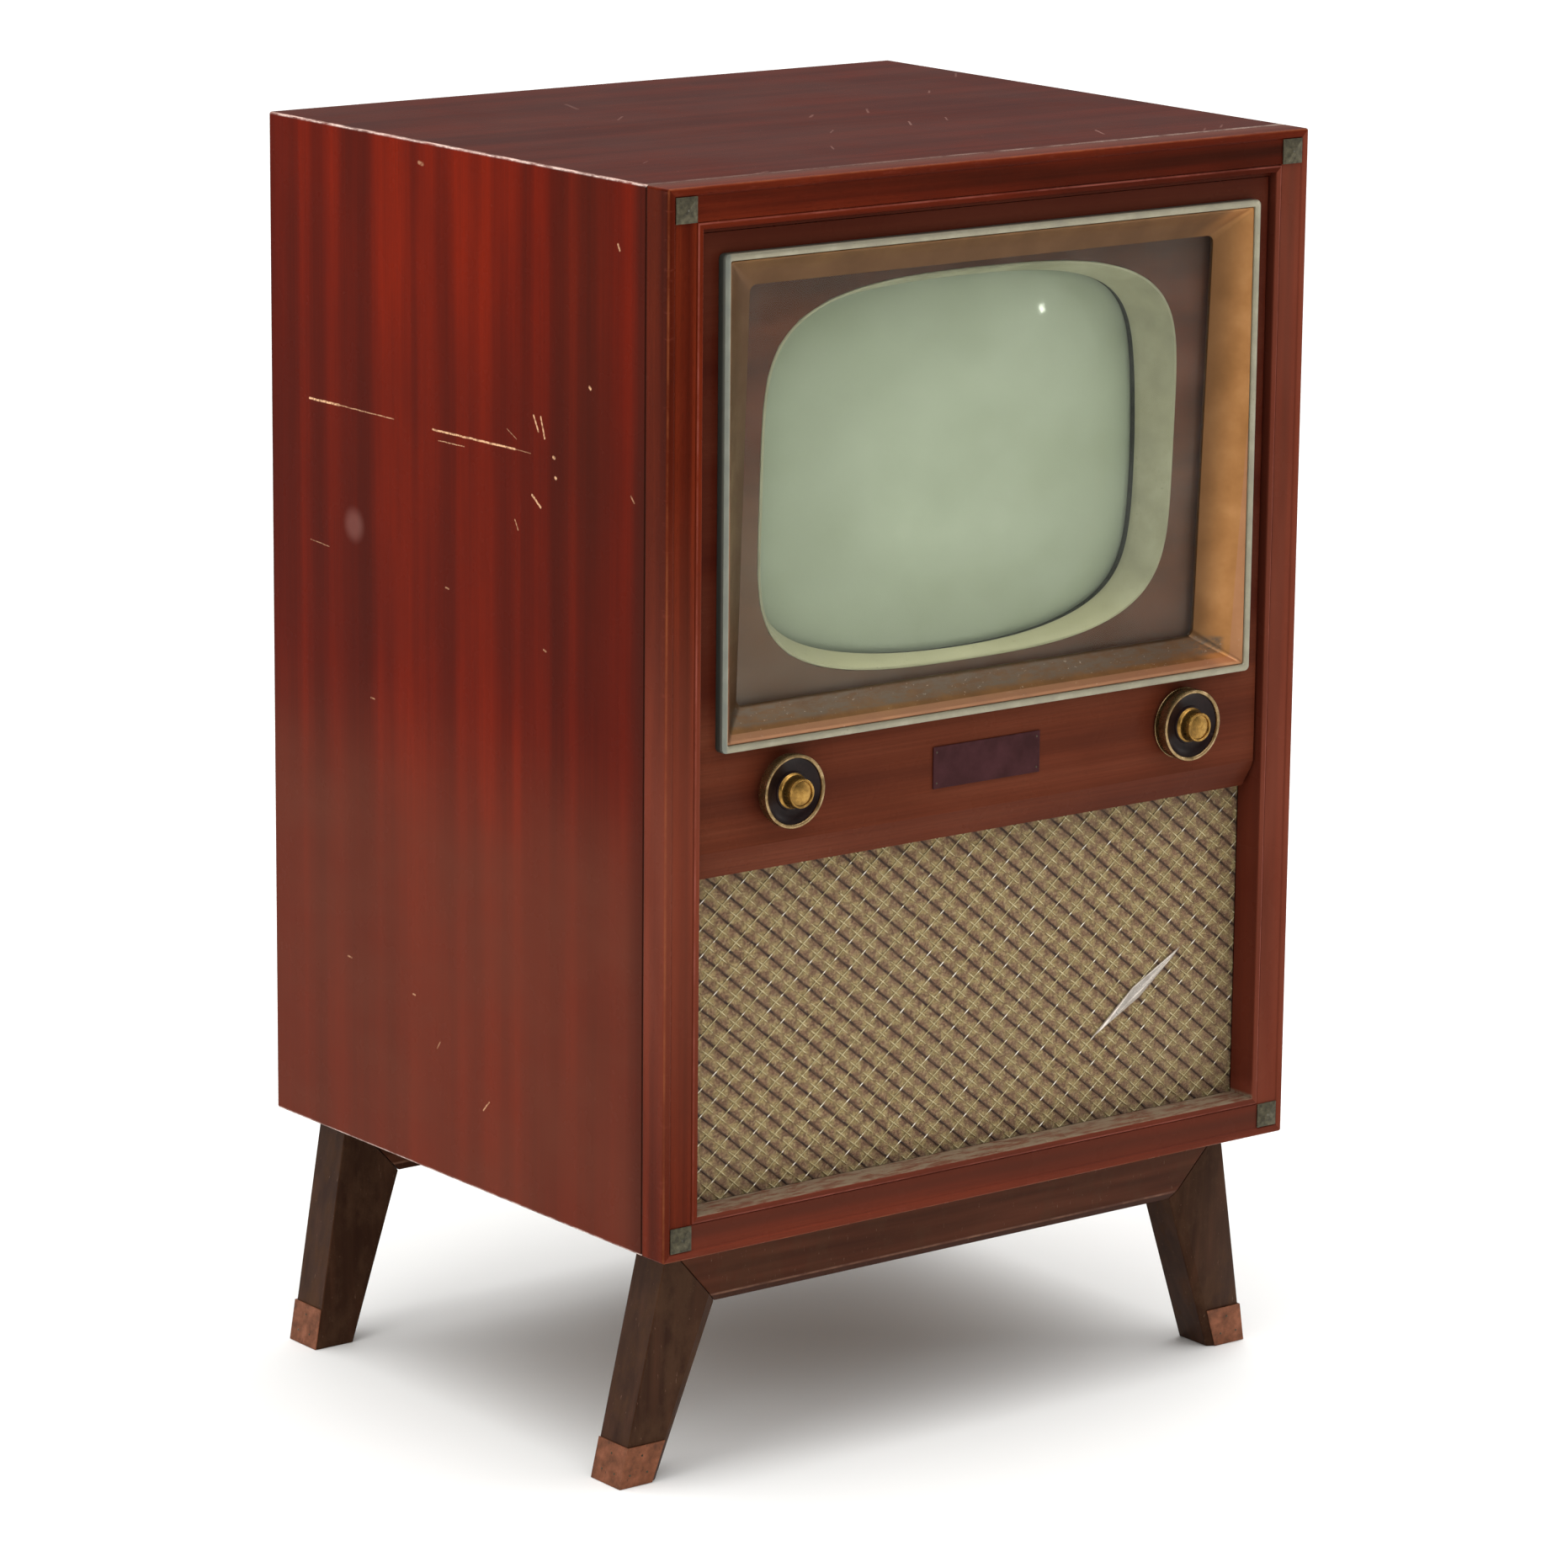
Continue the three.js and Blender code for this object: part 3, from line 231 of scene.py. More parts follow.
class Shade:
    """A material (or the world) being wired up; point is the place in cabinet millimetres."""

    def __init__(self, name, group=bpy.data.materials):
        self.material = group.new(name)
        self.material.use_nodes = True
        self.tree = self.material.node_tree
        self.tree.nodes.clear()
        coordinates = self.add("TexCoord").outputs["Object"]
        scaled = self.vector("MULTIPLY", coordinates, (1000, 1000, 1000))
        self.point = self.vector("SUBTRACT", scaled, (0, FRONT * 1000, BASE * 1000))
        parts = self.add("SeparateXYZ", self.point)
        self.x, self.y, self.z = (Value(self, part) for part in parts.outputs)

    def add(self, kind, *values, **settings):
        """A shader node with its settings, its first inputs fed with values."""
        node = self.tree.nodes.new("ShaderNode" + kind)
        for key, value in settings.items():
            setattr(node, key, value)
        for socket, value in zip(node.inputs, values):
            self.feed(socket, value)
        return node

    def feed(self, socket, value):
        """Links a socket or a Value, or sets a plain number, vector or hex colour."""
        if isinstance(value, Value):
            value = value.socket
        if isinstance(value, bpy.types.NodeSocket):
            self.tree.links.new(value, socket)
        elif value is not None:
            socket.default_value = linear(value) if isinstance(value, str) else value

    def math(self, operation, *values, clamp=False):
        node = self.add("Math", *values, operation=operation, use_clamp=clamp)
        return Value(self, node.outputs[0])

    def vector(self, operation, *values):
        return self.add("VectorMath", *values, operation=operation).outputs["Vector"]

    def length(self, *vectors, operation="LENGTH"):
        node = self.add("VectorMath", *vectors, operation=operation)
        return Value(self, node.outputs["Value"])

    def flat(self, u, v, centre=None):
        """Two values as a flat vector, measured from centre if that is given."""
        joined = self.add("CombineXYZ", u, v, 0).outputs[0]
        return self.vector("SUBTRACT", joined, (*centre, 0)) if centre else joined

    def texture(self, kind, size, **inputs):
        """A texture node whose features have a size in mm, the same all ways or (x, y, z)."""
        if isinstance(size, (int, float)):
            size = (size,) * 3
        if isinstance(size, (list, tuple)):
            size = self.vector("DIVIDE", self.point, size)
        node = self.add(kind)
        self.feed(node.inputs["Vector"], size)
        for key, value in {"Scale": 1, **inputs}.items():
            node.inputs[key].default_value = value
        return node

    def noise(self, size, detail=2, rough=0.5, warp=0):
        """Noise with features of a size in mm, or along a vector of the caller's own."""
        node = self.texture("TexNoise", size, Detail=detail, Roughness=rough, Distortion=warp)
        return Value(self, node.outputs[0])

    def mix(self, factor, a, b, blend="MIX"):
        node = self.add("Mix", data_type="RGBA", blend_type=blend)
        for index, value in ((0, factor), (6, a), (7, b)):
            self.feed(node.inputs[index], value)
        return node.outputs[2]

    def layers(self, base, *coats):
        """base under coats, each a (mask, colour) or a function of this Shade that lists several."""
        for coat in coats:
            if callable(coat):
                base = self.layers(base, *coat(self))
            else:
                base = self.mix(coat[0], base, coat[1])
        return base

    def bump(self, height, distance, strength):
        node = self.add("Bump")
        node.inputs["Strength"].default_value = strength
        node.inputs["Distance"].default_value = distance * MM
        self.feed(node.inputs["Height"], height)
        return node.outputs[0]

    def surface(self, colour, roughness, normal=None, metallic=0, level=0.5, **plain):
        """Ends the material with a Principled shader; level is its specular, plain its other sockets."""
        self.shader = self.add("BsdfPrincipled")
        plain.update(Base_Color=colour, Roughness=roughness, Normal=normal, Metallic=metallic,
                     Specular_IOR_Level=level)
        for key, value in plain.items():
            self.feed(self.shader.inputs[key.replace("_", " ")], value)
        self.out = self.add("OutputMaterial", self.shader.outputs[0])
        return self.material

    def marks(self, u, v, segments, wobble=0.6):
        """A mask of thin marks: each (u0, v0, u1, v1, half width, strength), in millimetres."""
        drift = (self.noise(9, 3) - 0.5) * (wobble * 2)
        flat = self.flat(u, self.math("ADD", v, drift))
        worn = self.noise(2.2, 2).rise(0.38, 0.55)
        total = None
        for u0, v0, u1, v1, half, strength in segments:
            run = Vector((u1 - u0, v1 - v0, 0))
            from_start = self.vector("SUBTRACT", flat, (u0, v0, 0))
            along = self.length(from_start, tuple(run / run.length_squared), operation="DOT_PRODUCT")
            held = self.math("ADD", along, 0, clamp=True)
            step = self.add("VectorMath", tuple(run), operation="SCALE")
            self.feed(step.inputs["Scale"], held)
            away = self.length(self.vector("SUBTRACT", from_start, step.outputs["Vector"]))
            one = away.fall(half * 0.5, half * 1.3, strength)
            total = one if total is None else self.math("MAXIMUM", total, one)
        return total * (worn * 0.6 + 0.4)


LACQUER_TINT = (1, 0.62, 0.34, 1)


def mahogany(name, along, tones, *coats, gloss=0.24, level=0.03, ribbon=26, seed=0):
    """Red lacquered mahogany with ribbon figure along one axis, under coats."""
    mat = Shade(name)
    dark, mid, _ = tones.split()

    def grain(across, length, detail, rough=0.5):
        size = [length if axis == along else across for axis in "xyz"]
        shifted = mat.vector("DIVIDE", mat.point, size)
        shifted = mat.vector("ADD", shifted, (seed, seed * 1.7, seed * 0.6))
        return mat.noise(shifted, detail, rough)

    broad = grain(ribbon, 1100, 0)
    stripe = grain(ribbon * 0.4, 800, 1)
    blotch = grain(ribbon * 1.6, 130, 2)
    figure = broad * 0.56 + stripe * 0.2 + blotch * 0.24
    base = figure.ramp(f"{tones} {mid}", at=(0.3, 0.48, 0.64, 0.8))
    streak = grain(1.7, 160, 3, 0.6).map(0.35, 0.68, 0.9, 1.06)
    grey = mat.add("CombineColor", streak, streak, streak).outputs[0]
    base = mat.mix(1, base, grey, "MULTIPLY")
    pores = grain(0.55, 9, 1, 0.4).rise(0.6, 0.7, 0.3)
    base = mat.layers(base, (pores, dark), *coats)
    rough = mat.noise(60, 4, 0.6).map(0.35, 0.7, gloss - 0.06, gloss + 0.12)
    height = grain(5, 60, 2) * 0.6 + pores * -0.35
    return mat.surface(base, rough, mat.bump(height, 0.05, 0.5), level=level,
                       Specular_Tint=LACQUER_TINT)


def rubbed(mat, distance, width, size, strength):
    """A broken mask that is strong where distance (mm) is under width."""
    patchy = mat.noise(size, 5, 0.7).map(0.34, 0.68, 0.15, 1)
    return distance.fall(width * 0.25, width) * patchy * strength


def outer_edge(mat):
    """Distances in from the cabinet's outline seen from the front: nearest, to a side, to top or bottom."""
    side = HALF_WIDTH - abs(mat.x)
    top = HEIGHT / 2 - abs(mat.z - HEIGHT / 2)
    return mat.math("MINIMUM", side, top), side, top


def on_left(mat):
    return mat.x.fall(-300, -200)


def side_floor_reflection(mat):
    # Painted reflection: the lower part of the side turned browner and lighter, as if it mirrored the pale
    # floor.
    drift = mat.noise((120, 120, 60), 3).map(0.2, 0.8, 0.5, 0.72)
    return [(mat.z.fall(250, 400) * drift, "643324")]


def side_wear_and_shade(mat):
    top = outer_edge(mat)[2]
    middle = mat.z.rise(300, 440) * mat.z.fall(580, 720)
    band = mat.y.rise(50, 90) * (mat.y.fall(118, 150) * mat.z.rise(380, 640))
    smudge = mat.length(mat.flat(mat.y, mat.z, (405, 493))).fall(5, 17, 0.16)
    return [
        # Painted shade: a darker band across the middle height of the side.
        (middle * 0.34, "3c0d05"),
        (mat.y.fall(27.6, 28.8, 0.85), "140705"),
        # Darker for about 20 mm behind the joint with the front frame, and in a patch 50 to 150 mm back and
        # 380 to 640 mm up.
        (mat.y.fall(30, 52, 0.55), "30130c"),
        (band * 0.4, "3c1409"),
        (smudge * on_left(mat), "c08a80"),
        (rubbed(mat, top, 2.2, 14, 1), "f2d8cc"),
    ]


SIDE_MARKS = (
    (170, 584, 196, 584.3, 0.35, 0.35), (190, 584.2, 298, 583.2, 0.8, 0.95),
    (256, 576.3, 290, 575.8, 0.4, 0.6), (350, 583.5, 430, 583.6, 0.45, 0.6),
    (425, 583.6, 466, 583.2, 0.9, 1), (152, 598, 157, 613, 0.9, 0.8),
    (160, 602, 166, 613, 0.9, 0.8), (139.5, 585, 141, 585.4, 1.2, 0.9),
    (137.5, 570, 138.5, 570.4, 1.3, 0.9), (157, 545.5, 168, 553, 1, 0.8),
    (186, 524, 190, 531, 0.6, 0.5), (94.5, 643, 95.5, 644, 1.3, 0.9),
    (188, 592, 200, 598, 0.4, 0.4), (310, 783, 315, 783.4, 1.6, 0.35),
    (224, 73, 232, 65, 0.6, 0.6), (440, 470.5, 466, 472, 0.4, 0.35),
    (277, 464, 281, 464.4, 0.7, 0.5), (378, 360.5, 383, 360.8, 0.6, 0.4),
    (412, 147, 417, 147.3, 0.7, 0.45), (290, 106, 294, 100, 0.5, 0.4),
    (59, 749, 61, 753, 1, 0.6), (150, 438, 153, 438.6, 0.7, 0.5),
    (324, 136, 327, 136.3, 0.8, 0.5), (40, 567, 44, 571, 0.8, 0.4),
)

TOP_MARKS = (
    (-75, 105, -66, 120, 0.7, 0.6), (150, 60, 160, 82, 0.9, 0.6), (60, 182, 72, 200, 0.9, 0.6),
    (102, 190, 112, 205, 0.7, 0.5), (-205, 30, -190, 36, 1.6, 0.3), (-110, 330, -95, 345, 0.9, 0.35),
    (-98, 400, -88, 430, 1.6, 0.28), (24, 262, 34, 272, 1.2, 0.4), (78, 258, 92, 278, 1, 0.4),
    (196, 330, 206, 342, 0.9, 0.4), (250, 40, 262, 52, 0.8, 0.35), (280, 400, 296, 420, 0.9, 0.3),
    (228, 34, 238, 44, 0.8, 0.3), (-20, 180, -8, 192, 0.7, 0.35), (-240, 120, -230, 128, 0.6, 0.3),
)


def left_marks(mat):
    return [(mat.marks(mat.y, mat.z, SIDE_MARKS) * on_left(mat), "e8b78c")]


def top_marks(mat):
    return [(mat.marks(mat.x, mat.y, TOP_MARKS) * 0.5, "b98e82")]


def top_haze(mat):
    return [(mat.noise((150, 110, 150), 4, 0.6).map(0.3, 0.75, 0.1, 0.45), "4a2e28")]


def top_wear(mat):
    back = DEPTH - mat.y
    rear_edge = mat.length(mat.flat(back, HEIGHT - mat.z))
    seam = rubbed(mat, abs(mat.y - 29), 4, 26, 0.8)
    cells = Value(mat, mat.texture("TexVoronoi", 7).outputs["Distance"])
    return [
        (seam * mat.x.map(-150, 260, 0.35, 1), "a08a7e"),
        (cells.fall(0.03, 0.08, 0.5) * mat.noise(90, 2).rise(0.5, 0.65), "8e6c62"),
        (rubbed(mat, HALF_WIDTH - abs(mat.x), 2.6, 30, 1), "e4c2b4"),
        (rubbed(mat, rear_edge, 2.4, 12, 0.6), "b08a80"),
        (back.fall(0.4, 0.9, 0.6), "3a1a10"),
    ]


def frame_wear_and_shade(mat):
    edge, side, top = outer_edge(mat)
    arris = mat.length(mat.flat(edge, mat.y))
    front_only = mat.y.fall(2, 4)
    inner_face = edge.rise(31.2, 31.9)
    scuffed = mat.noise((30, 30, 6), 4, 0.7).rise(0.56, 0.66, 0.5)
    settled = mat.noise((22, 6, 6), 4, 0.7).map(0.36, 0.6, 0.25, 0.95)
    return [
        # Painted shade: the stiles' outer side faces darker above 330 mm, the inner faces of the opening
        # darker above 36 mm, and a dark line along the step 6.7 mm in.
        (side.fall(0.02, 0.3, 0.4) * mat.z.rise(330, 560), "300e07"),
        (inner_face * mat.z.rise(36, 50, 0.5), "3c1208"),
        (abs(edge - 6.7).fall(0.3, 1.1, 0.12) * front_only, "1c0a09"),
        (scuffed * arris.fall(2, 8, 0.5), "7a3a2e"),
        (rubbed(mat, abs(edge - 27.4), 0.9, 60, 0.5) * front_only, "a05c50"),
        (rubbed(mat, arris, 1.8, 40, 0.42), "a0603c"),
        (top.fall(0.2, 1) * mat.y.map(1.5, 26, 0.2, 0.6), "66443a"),
        (inner_face * mat.z.fall(33, 36) * settled, "83735f"),
        (mat.y.rise(25.4, 26.6, 0.85), "140705"),
    ]


def stile_painted_light(mat):
    # Painted light: the stiles lighter and browner low down, as if mirroring the floor, and the right stile
    # lighter, as if lit from the right.
    side = outer_edge(mat)[1]
    low = mat.z.fall(280, 620, 0.62) * mat.z.map(20, 260, 0.2, 1)
    both = mat.math("MAXIMUM", low, mat.x.rise(0, 250, 0.55))
    patch = mat.noise((30, 30, 160), 3).map(0.25, 0.7, 0.75, 1.1)
    return [(both * side.map(0.02, 0.3, 0.75, 1) * patch, "7e4333")]


def rail_floor_reflection(mat):
    # Painted reflection: the rails lighter towards the bottom, as if mirroring the pale floor.
    return [(mat.z.map(30, 320, 0.42, 0.04), "6e3d30")]


def panel_painted_shade(mat):
    # Painted shade: the front panel darker above about 400 mm, its lower part left lighter as if mirroring
    # the floor.
    return [(mat.z.rise(385, 430, 0.72), "3c0f08")]


def finish(name, cloud, tones, rough, *coats, at=None, texture=None, relief=None, **plain):
    """A finish whose tones follow cloud, the values of a noise, under coats.

    rough is one number, or two for the first and last tones; relief is the distance and strength of
    bumps that follow texture, the values of another noise, or else the tones."""
    mat = Shade(name)
    cloud = mat.noise(*cloud)
    base = mat.layers(cloud.ramp(tones, at), *coats)
    if isinstance(rough, tuple):
        rough = cloud.map(0.3, 0.7, *rough)
    bumps = mat.noise(*texture) if texture else cloud
    return mat.surface(base, rough, relief and mat.bump(bumps, *relief), **plain)


def mottled(name, tones, size=12, roughness=0.55, metallic=0, relief=0.08, level=0.5):
    """A plain finish with slow colour drift and a fine surface texture."""
    rough = (roughness + 0.08, roughness - 0.06)
    return finish(name, (size, 4, 0.6), tones, rough, at=(0.32, 0.68), texture=(1, 3),
                  relief=(relief, 0.5), metallic=metallic, level=level)


def bright_brass(name, centre, tones):
    """Polished brass with fine turning marks about centre (x, z)."""
    mat = Shade(name)
    radius = mat.length(mat.flat(mat.x, mat.z, centre))
    turning = mat.noise(mat.flat(radius * 4.5, 0), 3, 0.7)
    tarnish = mat.noise(7, 4, 0.6)
    grime = mat.noise(2.5, 3).rise(0.6, 0.72, 0.3)
    colour = mat.layers(tarnish.ramp(tones, at=(0.32, 0.5, 0.7)), (grime, "5c4a30"))
    rough = tarnish.map(0.3, 0.7, 0.34, 0.22)
    return mat.surface(colour, rough, mat.bump(turning, 0.012, 0.4), metallic=0.95)


def dish_plastic(name):
    mat = Shade(name)
    dust = mat.noise(3, 4, 0.7).rise(0.55, 0.75, 0.22)
    base = mat.layers(mat.noise(12, 3).ramp("180e0d 241615"), (dust, "44362f"))
    fine = mat.bump(mat.noise(0.8, 2), 0.02, 0.4)
    return mat.surface(base, dust.map(0, 0.2, 0.3, 0.5), fine, level=0.12)


def trim_shade_and_specks(mat):
    """Painted shade on the outer left side and where the trim is sunk, with specks."""
    return [
        (mat.x.fall(-252.6, -250.4, 0.6), "5a6563"),
        (mat.y.rise(-1.6, 1.5, 0.85), "363c38"),
        (mat.noise(2, 3, 0.6).rise(0.66, 0.72, 0.5), "6a6450"),
    ]


def gold_paint(name):
    """Satin gold paint on the recess, with painted light and shade: lit on the right, shaded to the left, top
    and bottom and darker inwards; dusty along its sill.
    """
    mat = Shade(name)
    height = mat.z - SCREEN_Z
    cloud = mat.noise(38, 4, 0.6)
    places = (0.3, 0.5, 0.72)
    # Painted light and shade: a lit copy of the gold for the right side and a shaded copy for the left, top
    # and bottom.
    bright = cloud.ramp("98693b a67444 b38150", at=places)
    shaded_gold = cloud.ramp("5d4126 6b4a2a 7a5731", at=places)
    flank = mat.x - abs(height) * 1.3
    deep = mat.y + height * LEAN
    sill = (SCREEN_Z - RECESS_SILL - mat.z).rise(-1.5, 3)
    streaks = mat.noise((14, 5, 5), 5, 0.7).map(0.34, 0.62, 0.3, 0.95)
    worn = mat.noise((4, 3, 3), 4, 0.7).rise(0.64, 0.72, 0.6)
    base = mat.layers(
        mat.mix(flank.rise(-12, 8), shaded_gold, bright),
        # Painted shade: darker deeper in the recess.
        (deep.rise(3, 20, 0.8), "573d26"),
        (sill * streaks * deep.rise(1.5, 6), "5f5346"),
        (sill * worn, "c9bfae"),
        (deep.fall(-1, -0.5, 0.5), "a8785c"),
    )
    fine = mat.bump(mat.noise(0.7, 2), 0.03, 0.5)
    return mat.surface(base, cloud.map(0.3, 0.7, 0.46, 0.36), fine, metallic=0.85)


def mask_dots_shadow_and_reflection(mat):
    # Painted reflection: film lightens the lower left of the mask as the safety glass's reflection would.
    film = mat.z.fall(SCREEN_Z - 60, SCREEN_Z + 70, 0.5)
    return [
        (mat.noise((0.9, 0.9, 0.45), 3, 0.6).rise(0.4, 0.7, 0.14), "7c5844"),
        # Painted shadow of the recess overhang across the top of the mask.
        (mat.z.rise(SCREEN_Z + 105, SCREEN_Z + 150, 0.5), "361c11"),
        (film * mat.x.map(-100, 200, 1, 0.4), "7c6656"),
    ]


def halo_specks_and_painted_light(mat):
    return [
        # Painted light: the lower part of the halo lighter.
        (mat.z.fall(SCREEN_Z - 150, SCREEN_Z - 100, 0.55), "d2cba8"),
        (mat.noise(1.6, 3).rise(0.66, 0.72, 0.5), "6a684e"),
    ]


def face_shade(mat):
    """Painted shade: greyer towards the tube face's edge; with a little dust."""
    away = mat.length(mat.flat(mat.x, mat.z - (SCREEN_Z + 10)))
    return [
        (away.rise(60, 190, 0.35), "959d8d"),
        (mat.noise(2.4, 3, 0.6).rise(0.66, 0.74, 0.06), "b4b8a4"),
    ]


def pane(name):
    """Clear safety glass: mostly see-through, with a faint mirror reflection off its film of dust."""
    mat = Shade(name)
    film = mat.noise(60, 3)
    mat.surface(mat.mix(film, "f2f5ee", "f6f8f3"), 0.03, metallic=1)
    clear = mat.add("BsdfTransparent", "f6f8f3").outputs[0]
    mirrored = film.map(0.3, 0.7, 0.008, 0.016)
    both = mat.add("MixShader", mirrored, clear, mat.shader.outputs[0])
    mat.feed(mat.out.inputs[0], both.outputs[0])
    return mat.material


def lattice_phase(mat):
    """cosines of the grille lattice's two diagonals: 1 along the light threads, -1 between them."""
    u = (mat.x - CROSS_X) / PITCH_X
    v = (mat.z - CROSS_Z) / PITCH_Z
    return mat.math("COSINE", (u + v) * tau), mat.math("COSINE", (u - v) * tau)


def ground_cloth(name):
    """The grille cloth's ground: fine woven yarns, olive by the crosses and red-brown between."""
    mat = Shade(name)
    warp = mat.math("SINE", mat.x * (tau / 1.25))
    weft = mat.math("SINE", mat.z * (tau / 1.1))
    tone = warp * weft * 0.14 + mat.noise((1.7, 1.7, 1.4), 4, 0.75)
    places = (0.3, 0.47, 0.6, 0.76)
    olive = tone.ramp("5c4830 8e7a4e ab9766 d2c090", at=places)
    russet = tone.ramp("442e20 6c4d38 88674e b4966f", at=places)
    s, t = lattice_phase(mat)
    patch = s * 0.24 + t * 0.24 + mat.noise(3, 4, 0.7)
    tuft = mat.noise(3.2, 3, 0.6)
    base = mat.layers(
        mat.mix(patch.rise(0.2, 0.85), russet, olive),
        (s.fall(-1, -0.72, 0.7), "402b1e"),
        (tuft.fall(0.3, 0.48, 0.35), "4a3626"),
        (tuft.rise(0.54, 0.7, 0.35), "cabb8c"),
        (mat.noise(110, 2).rise(0.35, 0.7, 0.2), "7a6650"),
    )
    return mat.surface(base, 0.85, mat.bump(tone, 0.35, 0.8), Sheen_Weight=0.2, level=0.2)


def yarn(name, tones, metallic=0, roughness=0.7, twist=1.2, painted_glints=0):
    """A thread with a twist, its colour broken along it; the last argument whitens parts between crosses as
    painted highlights.
    """
    mat = Shade(name)
    wave = mat.math("SINE", (mat.x + mat.z * 1.7) * (tau / twist))
    tone = wave * 0.08 + mat.noise(2.4, 3, 0.7)
    base = tone.ramp(tones, at=(0.34, 0.5, 0.7))
    if painted_glints:
        # Painted highlight: white glints on the yarn between the crosses.
        lit = mat.noise(7, 3, 0.7).rise(0.48, 0.56, painted_glints)
        between = lattice_phase(mat)[0].fall(-0.95, -0.2)
        base = mat.layers(base, (lit * between, "fff8ea"))
    return mat.surface(base, roughness, mat.bump(wave, 0.12, 0.5), metallic=metallic)


def base_wood(name, tones, sizes, grimy=0.6, bead=False):
    """The base's stained wood, grimy and scuffed; bead rubs a line along the rail's lower edge and paints
    shade on the bevel under it.
    """
    mat = Shade(name)
    grain = mat.noise(sizes, 3, 0.5)
    grime = mat.noise((26, 26, 40), 5, 0.7).rise(0.44, 0.66, grimy)
    base = mat.layers(grain.ramp(tones), (grime, "4c3526"))
    if bead:
        line = abs(mat.z - (RAIL_LOW + 6))
        # Painted shade: the bevel under the rubbed line darker.
        under = mat.z.fall(RAIL_LOW + 4.6, RAIL_LOW + 5.4, 0.6)
        base = mat.layers(base, (rubbed(mat, line, 1.3, 30, 0.75), "8a6450"), (under, "2a130c"))
    base = mat.layers(base, (mat.noise((2.2, 2.2, 9), 3, 0.7).rise(0.66, 0.72, 0.5), "7a5c4c"))
    return mat.surface(base, grime.map(0, 0.5, 0.4, 0.6), mat.bump(grain, 0.08, 0.4),
                       level=0.12, Specular_Tint=LACQUER_TINT)


def copper_chips(mat):
    return [(mat.noise((2.2, 2.2, 3.4), 3, 0.7).rise(0.64, 0.7, 0.7), "3f2a20")]


def board_stains(mat):
    return [(mat.noise(90, 3).rise(0.35, 0.7, 0.45), "46301f")]


SIDE = ("z", "4c0e03 601203 771802", side_floor_reflection, side_wear_and_shade)
FRAME_TONES = "2d0c05 4e1609 69230f"

wood_left = mahogany("mahogany_left", *SIDE, left_marks)
wood_right = mahogany("mahogany_right", *SIDE, seed=7.3)
wood_top = mahogany("mahogany_top", "x", "3c120b 46170d 501b10", top_haze, top_wear, top_marks,
                    gloss=0.26, level=0.035, seed=3.1)
wood_stile = mahogany("mahogany_stile", "z", FRAME_TONES, stile_painted_light, frame_wear_and_shade, ribbon=14, seed=1.7)
wood_rail = mahogany("mahogany_rail", "x", FRAME_TONES, rail_floor_reflection, frame_wear_and_shade, ribbon=14, seed=5.2)
wood_panel = mahogany("mahogany_panel", "x", "482016 5e2c1c 6e3a28", panel_painted_shade,
                      ribbon=30, seed=2.4, gloss=0.3, level=0.05)
wood_under = mottled("bare_wood", "5a4028 785a3c", size=40, roughness=0.75, level=0.3)
brass_stud = finish("brass_stud", (5, 4, 0.65), "37332a 4d4838 625c48", (0.62, 0.42),
                    texture=(1.6, 3), relief=(0.12, 0.5), metallic=0.75)
plum_plate = mottled("plum_plate", "351a1b 452427", size=20, roughness=0.45, relief=0.02, level=0.06)
knob_dish = dish_plastic("aubergine_dish")
base_stain = base_wood("base_stain", "2b1710 352016 42281c", (9, 9, 120))
rail_stain = base_wood("rail_stain", "3a1b12 472317 552c1e", (160, 12, 9), 0.3, bead=True)
copper_cap = finish("copper_cap", (11, 4, 0.65), "5e3722 7c482c 92573a", (0.6, 0.42),
                    copper_chips, relief=(0.15, 0.4), metallic=0.5)
steel = mottled("zinc_steel", "6a6a66 8f8f88", size=10, roughness=0.38, metallic=0.9)
tin = mottled("tinned_plate", "77786f 989990", size=30, roughness=0.42, metallic=0.85)
bakelite = mottled("brown_bakelite", "1d1410 32231b", size=14, roughness=0.35)
black_paint = mottled("black_paint", "131312 232322", size=16, roughness=0.5)


# ------------ the cabinet's boards and front frame

CORNERS = ((-1, -1, 180), (1, -1, 270), (1, 1, 0), (-1, 1, 90))


def outline(inset, which):
    """The path of one member round the outline, mitred at both ends, at an inset from the edge."""
    radius = max(CORNER_RADIUS - inset, 0)
    reach = max(CORNER_RADIUS, inset)
    path = []
    ends = ((CORNERS[which], (45, 60, 75, 90)), (CORNERS[(which + 1) % 4], (0, 15, 30, 45)))
    for (side, level, start), turns in ends:
        x = side * (HALF_WIDTH - reach)
        z = HEIGHT / 2 + level * (HEIGHT / 2 - reach)
        for turn in turns:
            angle = radians(start + turn)
            path.append((x + radius * cos(angle), z + radius * sin(angle)))
    return path


def member(name, which, profile, material, node, slot):
    """A mitred member: which is 0 bottom, 1 right, 2 top, 3 left; profile is (inset, depth)."""
    rings = [[(x, depth, z) for x, z in outline(inset, which)] for inset, depth in profile]
    points, faces = loft(rings, closed_ring=False, closed_loft=True)
    count = len(rings[0])
    faces.append(tuple(range(0, len(points), count)))
    faces.append(tuple(range(count - 1, len(points), count)))
    piece(name, points, faces, material, stands_for=node, slot=slot)


